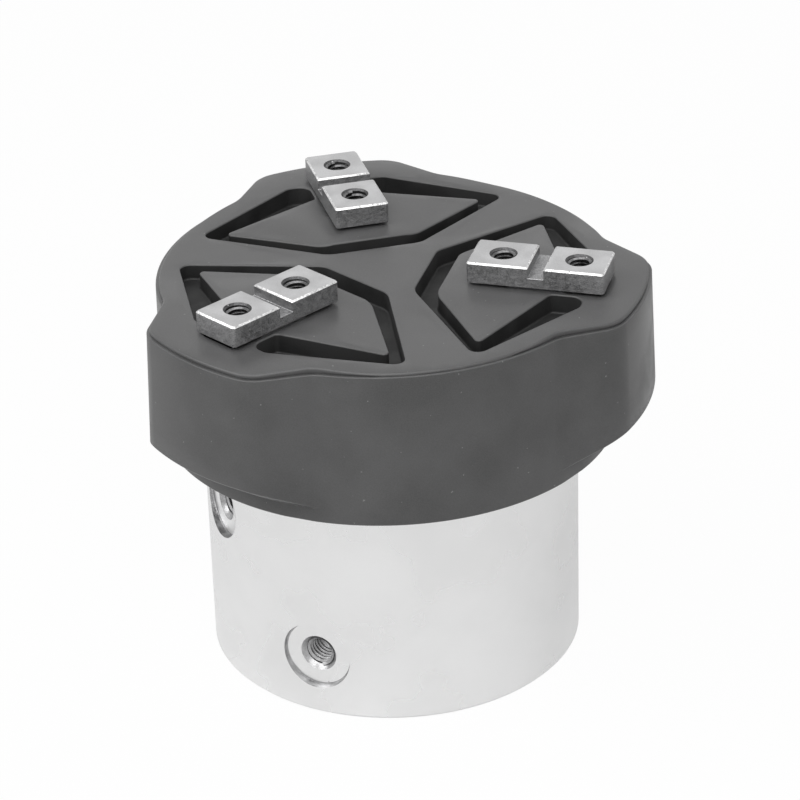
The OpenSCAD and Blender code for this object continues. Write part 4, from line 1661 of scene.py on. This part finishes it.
@dataclass
class CoverScrews:
    """The three screws that hold the cover from below."""

    levels: Levels
    pcr: float
    head_r: float = 2.25
    head_h: float = 2.2
    head_chamfer: float = 0.25
    shank_r: float = 1.2
    tip_chamfer: float = 0.3
    socket_r: float = 1.15
    socket_depth: float = 1.2
    socket_end: float = 1.5
    ease: float = 0.08

    def build(self) -> None:
        """Builds one screw and repeats it round the axis."""
        low, top = self.levels.screw_z, self.levels.screw_top
        head, shank, socket = self.head_r, self.shank_r, self.socket_r
        seat, tip = low + self.head_h, self.tip_chamfer
        screw = lathe("cover_screw", [
            (0, low), (head - self.head_chamfer, low), (head, low + self.head_chamfer), (head, seat),
            (shank, seat), (shank, top - tip), (shank - tip, top), (0, top),
        ], steps=40)
        cut(screw, lathe("socket_tool", [
            (0, low - PAST), (socket, low - PAST), (socket, low + self.socket_depth),
            (0, low + self.socket_end),
        ], steps=6))
        ease_edges(screw, self.ease)
        copies = RingTree("screw_ring", screw, SCREW_STEEL)
        piece = copies.ring("cover_screw_set", JAW_COUNT, self.pcr, SCREW_ANGLE)
        bpy.data.objects.remove(screw)
        settle(piece, Body.HOUSING, Slot.SCREW_STEEL, [SCREW_STEEL], ["cover_screws"])


class PlateFace(IntEnum):
    """The kinds of faces on a jaw plate, by the place of their finish, which also paints light: the top
    lighter, the sides darker, a highlight on the chamfers and shade in the holes.
    """

    TOP = 0
    MILLED = 1
    CHAMFER = 2
    HOLE = 3


@dataclass
class JawSet:
    """One jaw's plate, its threads and the pad below it.

    The plate's side walls reach `drop` lower than its solid, and `foot` is the chamfer at their foot.
    The `slack` and `up` fields sort its faces by place and by how far they face upwards; the upward faces are
    painted lighter, partly for the light that falls on them.
    """

    number: int
    levels: Levels
    winder: ThreadTree
    slot_w: float = 2.7
    slot_depth: float = 1.9
    chamfer: float = 0.27
    corner: float = 0.55
    foot: float = 0.12
    drop: float = 0.3
    ease: float = 0.07
    hole_pitch: float = 12.8
    sink: float = 0.34
    thread_z: float = 0.1
    thread_inset: float = 0.6
    pad_t: float = 0.65
    pad_ease: float = 0.08
    top_up: float = 0.97
    chamfer_up: float = 0.25
    top_slack: float = 0.05
    slot_slack: float = 0.3

    def body(self) -> Body:
        """Gives the body that carries this jaw."""
        return Body(f"jaw_{self.number}")

    def turned(self, piece: bpy.types.Object) -> bpy.types.Object:
        """Turns a piece made for jaw 1 to this jaw."""
        piece.data.transform(Matrix.Rotation(math.radians((self.number - 1) * JAW_STEP), 4, "Z"))
        return piece

    def blank(self) -> bpy.types.Object:
        """Makes the plate with its cross slot and its chamfered edges.

        Returns:
            Jaw 1's plate, without its holes.
        """
        at, half, middle = self.levels, self.levels.jaw_w / 2, self.levels.jaw_middle()
        slot_z, base = at.plate_top - self.slot_depth, at.plate_z - self.drop
        left, right = middle - self.slot_w / 2, middle + self.slot_w / 2
        section = [
            (at.jaw_x0, base), (at.jaw_x1, base), (at.jaw_x1, at.plate_top), (right, at.plate_top),
            (right, slot_z), (left, slot_z), (left, at.plate_top), (at.jaw_x0, at.plate_top),
        ]
        mesh = bmesh.new()
        near = mesh.faces.new([mesh.verts.new((x, -half, z)) for x, z in section])
        pushed = bmesh.ops.extrude_face_region(mesh, geom=[near])["geom"]
        far = [v for v in pushed if isinstance(v, bmesh.types.BMVert)]
        bmesh.ops.translate(mesh, vec=(0, 2 * half, 0), verts=far)
        upright = [
            e for e in mesh.edges
            if abs(e.verts[0].co.z - e.verts[1].co.z) > self.slot_depth
            and min(abs(e.verts[0].co.x - x) for x in (at.jaw_x0, at.jaw_x1)) < MERGE
        ]
        bmesh.ops.bevel(mesh, geom=upright, offset=self.corner, segments=3, profile=0.5, affect="EDGES")
        for level, offset in ((at.plate_top, self.chamfer), (base, self.foot)):
            rim = [e for e in mesh.edges if all(abs(v.co.z - level) < MERGE for v in e.verts)]
            bmesh.ops.bevel(mesh, geom=rim, offset=offset, segments=1, affect="EDGES")
        return new_piece(f"jaw_plate_{self.number}_ground", mesh)

    def kind(self, face: bpy.types.MeshPolygon) -> PlateFace:
        """Tells what a face of the plate is, before the plate is turned to its jaw.

        Args:
            face: A face of the plate.

        Returns:
            Its kind.
        """
        at, middle = self.levels, Vector(face.center)
        if face.normal.z > self.top_up and middle.z > at.plate_top - self.top_slack:
            return PlateFace.TOP
        near = min((middle.to_2d() - place.to_2d()).length for place in self.holes())
        if near < JAW_THREAD.outer_r + self.sink + self.top_slack:
            return PlateFace.HOLE
        if middle.z < at.plate_top - self.slot_depth + self.slot_slack or face.normal.z < self.chamfer_up:
            return PlateFace.MILLED
        return PlateFace.CHAMFER

    def holes(self) -> list[Vector]:
        """Gives the places of the plate's two holes."""
        return [Vector((self.levels.jaw_middle() + side * self.hole_pitch / 2, 0, 0)) for side in (-1, 1)]

    def hole_tool(self) -> bpy.types.Object:
        """Makes the solid that a hole takes out of the plate, with its sunk mouth.

        Returns:
            The tool, still on the head's axis.
        """
        low, top, outer = self.levels.plate_z - PAST, self.levels.plate_top, JAW_THREAD.outer_r
        mouth = outer + self.sink
        return lathe("hole_tool", [
            (0, low), (outer, low), (outer, top - self.sink), (mouth, top), (mouth, top + PAST),
            (0, top + PAST),
        ], steps=48)

    def build(self) -> None:
        """Builds the plate, its threads and the pad."""
        at, plate = self.levels, self.blank()
        for place in self.holes():
            cut(plate, turned_to(self.hole_tool(), UP, place))
        ease_edges(plate, self.ease, angle=50, segments=1)
        kinds = [self.kind(face) for face in plate.data.polygons]
        self.turned(plate)
        # Top, sides, chamfers and holes, painted lighter or darker partly by how light falls on them.
        finishes = [GROUND_LIT_STEEL, MILLED_SHADED_STEEL, EDGE_HIGHLIGHT_STEEL, HOLE_SHADED_STEEL]
        settle(plate, self.body(), Slot.JAW_STEEL, finishes, [f"jaw_plate_{self.number}"])
        plate.data.polygons.foreach_set("material_index", kinds)
        start = Vector((0, 0, at.plate_z + self.thread_z))
        length = at.plate_top - at.plate_z - self.thread_inset
        holes = [(place + start, UP) for place in self.holes()]
        # The threads take the painted shade.
        ridges = self.winder.wound(f"jaw_threads_{self.number}", JAW_THREAD, length, holes)
        settle(self.turned(ridges), self.body(), Slot.JAW_STEEL, [THREAD_SHADED_STEEL])
        pad, least_z = f"jaw_pad_{self.number}", at.plate_z - self.pad_t
        refined(pad, "slide_pad", self.body(), Slot.PAD_BLACK, PAD_BLACK, self.pad_ease, least_z)


# ---- carried-over nodes -------------------------------------------------


def refined(
    node: str, label: str, body: Body, slot: Slot, finish: Finish, width: float, least_z: float = 0.0
) -> None:
    """Replaces a CAD node by a merged copy with rounded edges.

    Args:
        node: The node's name.
        label: What its copy is called, before its number.
        body: The body that carries it.
        slot: Its slot in the record.
        finish: Its finish.
        width: Width of the rounding.
        least_z: Height that no point of the copy lies below.
    """
    number = node.rsplit("_", 1)[-1]
    name = f"{label}_{number}" if number.isdigit() else label
    mesh = bmesh.new()
    mesh.from_mesh(bpy.data.objects[node].data)
    bmesh.ops.scale(mesh, vec=(1 / MM,) * 3, verts=mesh.verts)
    bmesh.ops.remove_doubles(mesh, verts=mesh.verts, dist=FACET_MERGE)
    bmesh.ops.dissolve_limit(mesh, angle_limit=FLAT_ANGLE, verts=mesh.verts, edges=mesh.edges)
    for vert in mesh.verts:
        vert.co.z = max(vert.co.z, least_z)
    piece = new_piece(name, mesh)
    ease_edges(piece, width)
    settle(piece, body, slot, [finish], [node])


INNER: dict[str, tuple[Body, Finish]] = {
    "end_cap_seal": (Body.HOUSING, SEAL_RUBBER),
    "rod_bush": (Body.HOUSING, BUSH_BRONZE),
    "rod_seal": (Body.HOUSING, SEAL_RUBBER),
    "guide_body": (Body.HOUSING, GUIDE_STEEL),
    "guide_screws": (Body.HOUSING, SCREW_STEEL),
    "piston": (Body.DRIVE, MACHINED_ALUMINIUM),
    "piston_seal": (Body.DRIVE, SEAL_RUBBER),
    "piston_guide_ring": (Body.DRIVE, GUIDE_RING_PLASTIC),
    "piston_bumpers": (Body.DRIVE, SEAL_RUBBER),
    "piston_nut": (Body.DRIVE, SCREW_STEEL),
    "piston_rod": (Body.DRIVE, GUIDE_STEEL),
    "wedge_hook": (Body.DRIVE, GUIDE_STEEL),
    "hook_screw": (Body.DRIVE, SCREW_STEEL),
    **{f"base_jaw_{n}": (Body(f"jaw_{n}"), GUIDE_STEEL) for n in JAWS},
    **{f"jaw_screws_{n}": (Body(f"jaw_{n}"), SCREW_STEEL) for n in JAWS},
}


def dress_inner(nodes: dict[str, bpy.types.Object]) -> None:
    """Gives the carried-over inner nodes their finishes.

    Args:
        nodes: The frame's nodes by name.
    """
    for name, (body, finish) in INNER.items():
        data = nodes[name].data
        data.materials.clear()
        data.materials.append(finish.material())
        LOG.info("%s keeps its shape on %s, in %s", name, body.value, finish.name)


# ---- studio -------------------------------------------------------------


@dataclass(frozen=True)
class Lamp:
    """A square soft light that faces the object."""

    name: str
    azimuth: float
    elevation: float
    distance: float
    size: float
    power: float

    def build(self, target: Vector) -> None:
        """Hangs the lamp.

        Args:
            target: What it faces, in metres.
        """
        light = bpy.data.lights.new(self.name, "AREA")
        light.energy = self.power
        light.size = self.size
        lamp = bpy.data.objects.new(self.name, light)
        back = direction(self.azimuth, self.elevation)
        lamp.location = target + back * self.distance
        lamp.rotation_euler = back.to_track_quat("Z", "Y").to_euler()
        bpy.context.scene.collection.objects.link(lamp)


def direction(azimuth: float, elevation: float) -> Vector:
    """Gives the direction from the object towards a viewer or a lamp.

    Args:
        azimuth: Degrees round Z; at 0 the viewer looks along +Y.
        elevation: Degrees above the horizon.

    Returns:
        The unit vector.
    """
    a, e = math.radians(azimuth), math.radians(elevation)
    return Vector((math.sin(a) * math.cos(e), -math.cos(a) * math.cos(e), math.sin(e)))


@dataclass
class Studio:
    """White room, soft lights and the camera.

    Angles are in degrees and lengths in metres, but for the lens and its sensor. `world_level` is how
    strongly the room lights, and `floor_glow` and `mirror_glow` are how white the floor shows to the
    camera, and in what mirrors it.
    """

    azimuth: float = 16.09
    elevation: float = 28.12
    roll: float = -1.84
    distance: float = 0.57246
    lens: float = 151.09
    sensor: float = 36.0
    nearest: float = 0.01
    target: Vector = field(default_factory=lambda: Vector((0.00165, 0.00048, 0.04383)))
    world_level: float = 0.15
    floor_half: float = 6.0
    floor_glow: float = 0.97
    mirror_glow: float = 0.45
    lamps: tuple[Lamp, ...] = (
        Lamp("left", -60.0, 42.0, 0.9, 0.6, 3.2),
        Lamp("front", 12.0, 45.0, 0.9, 0.6, 2.5),
        Lamp("right", 60.0, 38.0, 0.9, 0.5, 0.5),
        Lamp("top", 0.0, 82.0, 0.9, 0.8, 3.2),
    )

    def camera(self) -> None:
        """Makes the camera."""
        lens = bpy.data.cameras.new("camera")
        lens.sensor_width = self.sensor
        lens.lens = self.lens
        lens.clip_start = self.nearest
        camera = bpy.data.objects.new("camera", lens)
        back = direction(self.azimuth, self.elevation)
        level = UP.cross(back).normalized()
        up = back.cross(level)
        c, s = math.cos(math.radians(self.roll)), math.sin(math.radians(self.roll))
        right, above = level * c + up * s, up * c - level * s
        turn = Matrix((right, above, back)).transposed().to_4x4()
        camera.matrix_world = Matrix.Translation(self.target + back * self.distance) @ turn
        bpy.context.scene.collection.objects.link(camera)
        bpy.context.scene.camera = camera

    @staticmethod
    def seen(graph: Graph) -> bpy.types.NodeSocket:
        """Tells the rays that show the room as it looks from those that only light.

        Args:
            graph: The graph to work in.

        Returns:
            A socket that is 1 for the first kind and 0 for the others.
        """
        path = graph.node("ShaderNodeLightPath").outputs
        shown = graph.math("ADD", path["Is Camera Ray"], path["Is Glossy Ray"])
        return graph.math("MINIMUM", graph.math("ADD", shown, path["Is Transmission Ray"]), 1.0)

    def world(self) -> None:
        """Makes the white room's light."""
        world = bpy.data.worlds.new("room")
        world.use_nodes = True
        bpy.context.scene.world = world
        graph = Graph(world.node_tree)
        level = graph.ramp(self.seen(graph), 0.0, 1.0, self.world_level, 1.0)
        graph.fill(world.node_tree.nodes["Background"], {"Color": WHITE, "Strength": level})

    def floor(self) -> None:
        """Makes the white floor, which shows white and keeps the object's shadow."""
        mesh = bmesh.new()
        bmesh.ops.create_grid(mesh, x_segments=1, y_segments=1, size=self.floor_half)
        data = bpy.data.meshes.new("floor")
        mesh.to_mesh(data)
        mesh.free()
        plane = bpy.data.objects.new("floor", data)
        bpy.context.scene.collection.objects.link(plane)
        paper = bpy.data.materials.new("floor_paper")
        paper.use_nodes = True
        graph = Graph(paper.node_tree)
        paint = paper.node_tree.nodes["Principled BSDF"]
        look = {"Base Color": (0.8, 0.8, 0.8, 1.0), "Roughness": 0.9, "Specular IOR Level": 0.0}
        graph.fill(paint, look)
        glow = graph.node("ShaderNodeEmission", {"Color": WHITE, "Strength": 1.0})
        path = graph.node("ShaderNodeLightPath").outputs
        direct = graph.math("MULTIPLY", path["Is Camera Ray"], self.floor_glow)
        mirrored = graph.math("ADD", path["Is Glossy Ray"], path["Is Transmission Ray"])
        mirrored = graph.math("MULTIPLY", graph.math("MINIMUM", mirrored, 1.0), self.mirror_glow)
        share = graph.math("MAXIMUM", direct, mirrored)
        mixed = graph.node("ShaderNodeMixShader", {0: share, 1: paint.outputs[0], 2: glow.outputs[0]})
        graph.fill(paper.node_tree.nodes["Material Output"], {"Surface": mixed.outputs[0]})
        data.materials.append(paper)

    def build(self) -> None:
        """Builds the room, the lamps and the camera."""
        bpy.context.scene.view_settings.view_transform = "Standard"
        self.camera()
        self.world()
        self.floor()
        for lamp in self.lamps:
            lamp.build(self.target)


# ---- assembly -----------------------------------------------------------


def main() -> None:
    """Builds the gripper's looks, sub-assembly by sub-assembly."""
    logging.basicConfig(level=logging.INFO, format="%(name)s: %(message)s")
    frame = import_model()
    Studio().build()
    SharedEffects.build()
    levels = Levels.read()
    outline = HeadOutline(lobe_r=levels.lobe_r, round_r=levels.body_r + SKIRT_STEP)
    screw_pcr = (levels.body_r + outline.round_r) / 2
    mounts = {mount["name"]: mount for mount in frame["record"]["mounts"]}
    CylinderBody(levels, [mounts["port_low"], mounts["port_high"]]).build()
    HeadHousing(levels, outline, screw_pcr).build()
    TopCover(levels, outline).build()
    CoverScrews(levels, screw_pcr).build()
    refined("end_cap", "base_cap", Body.HOUSING, Slot.MACHINED_ALUMINIUM, MACHINED_ALUMINIUM, width=0.15)
    refined("snap_ring", "retaining_ring", Body.HOUSING, Slot.SCREW_STEEL, SCREW_STEEL, width=0.12)
    winder = ThreadTree("jaw_thread", THREAD_SHADED_STEEL)
    for number in JAWS:
        JawSet(number, levels, winder).build()
    dress_inner(frame["nodes"])


if __name__ == "__main__":
    main()
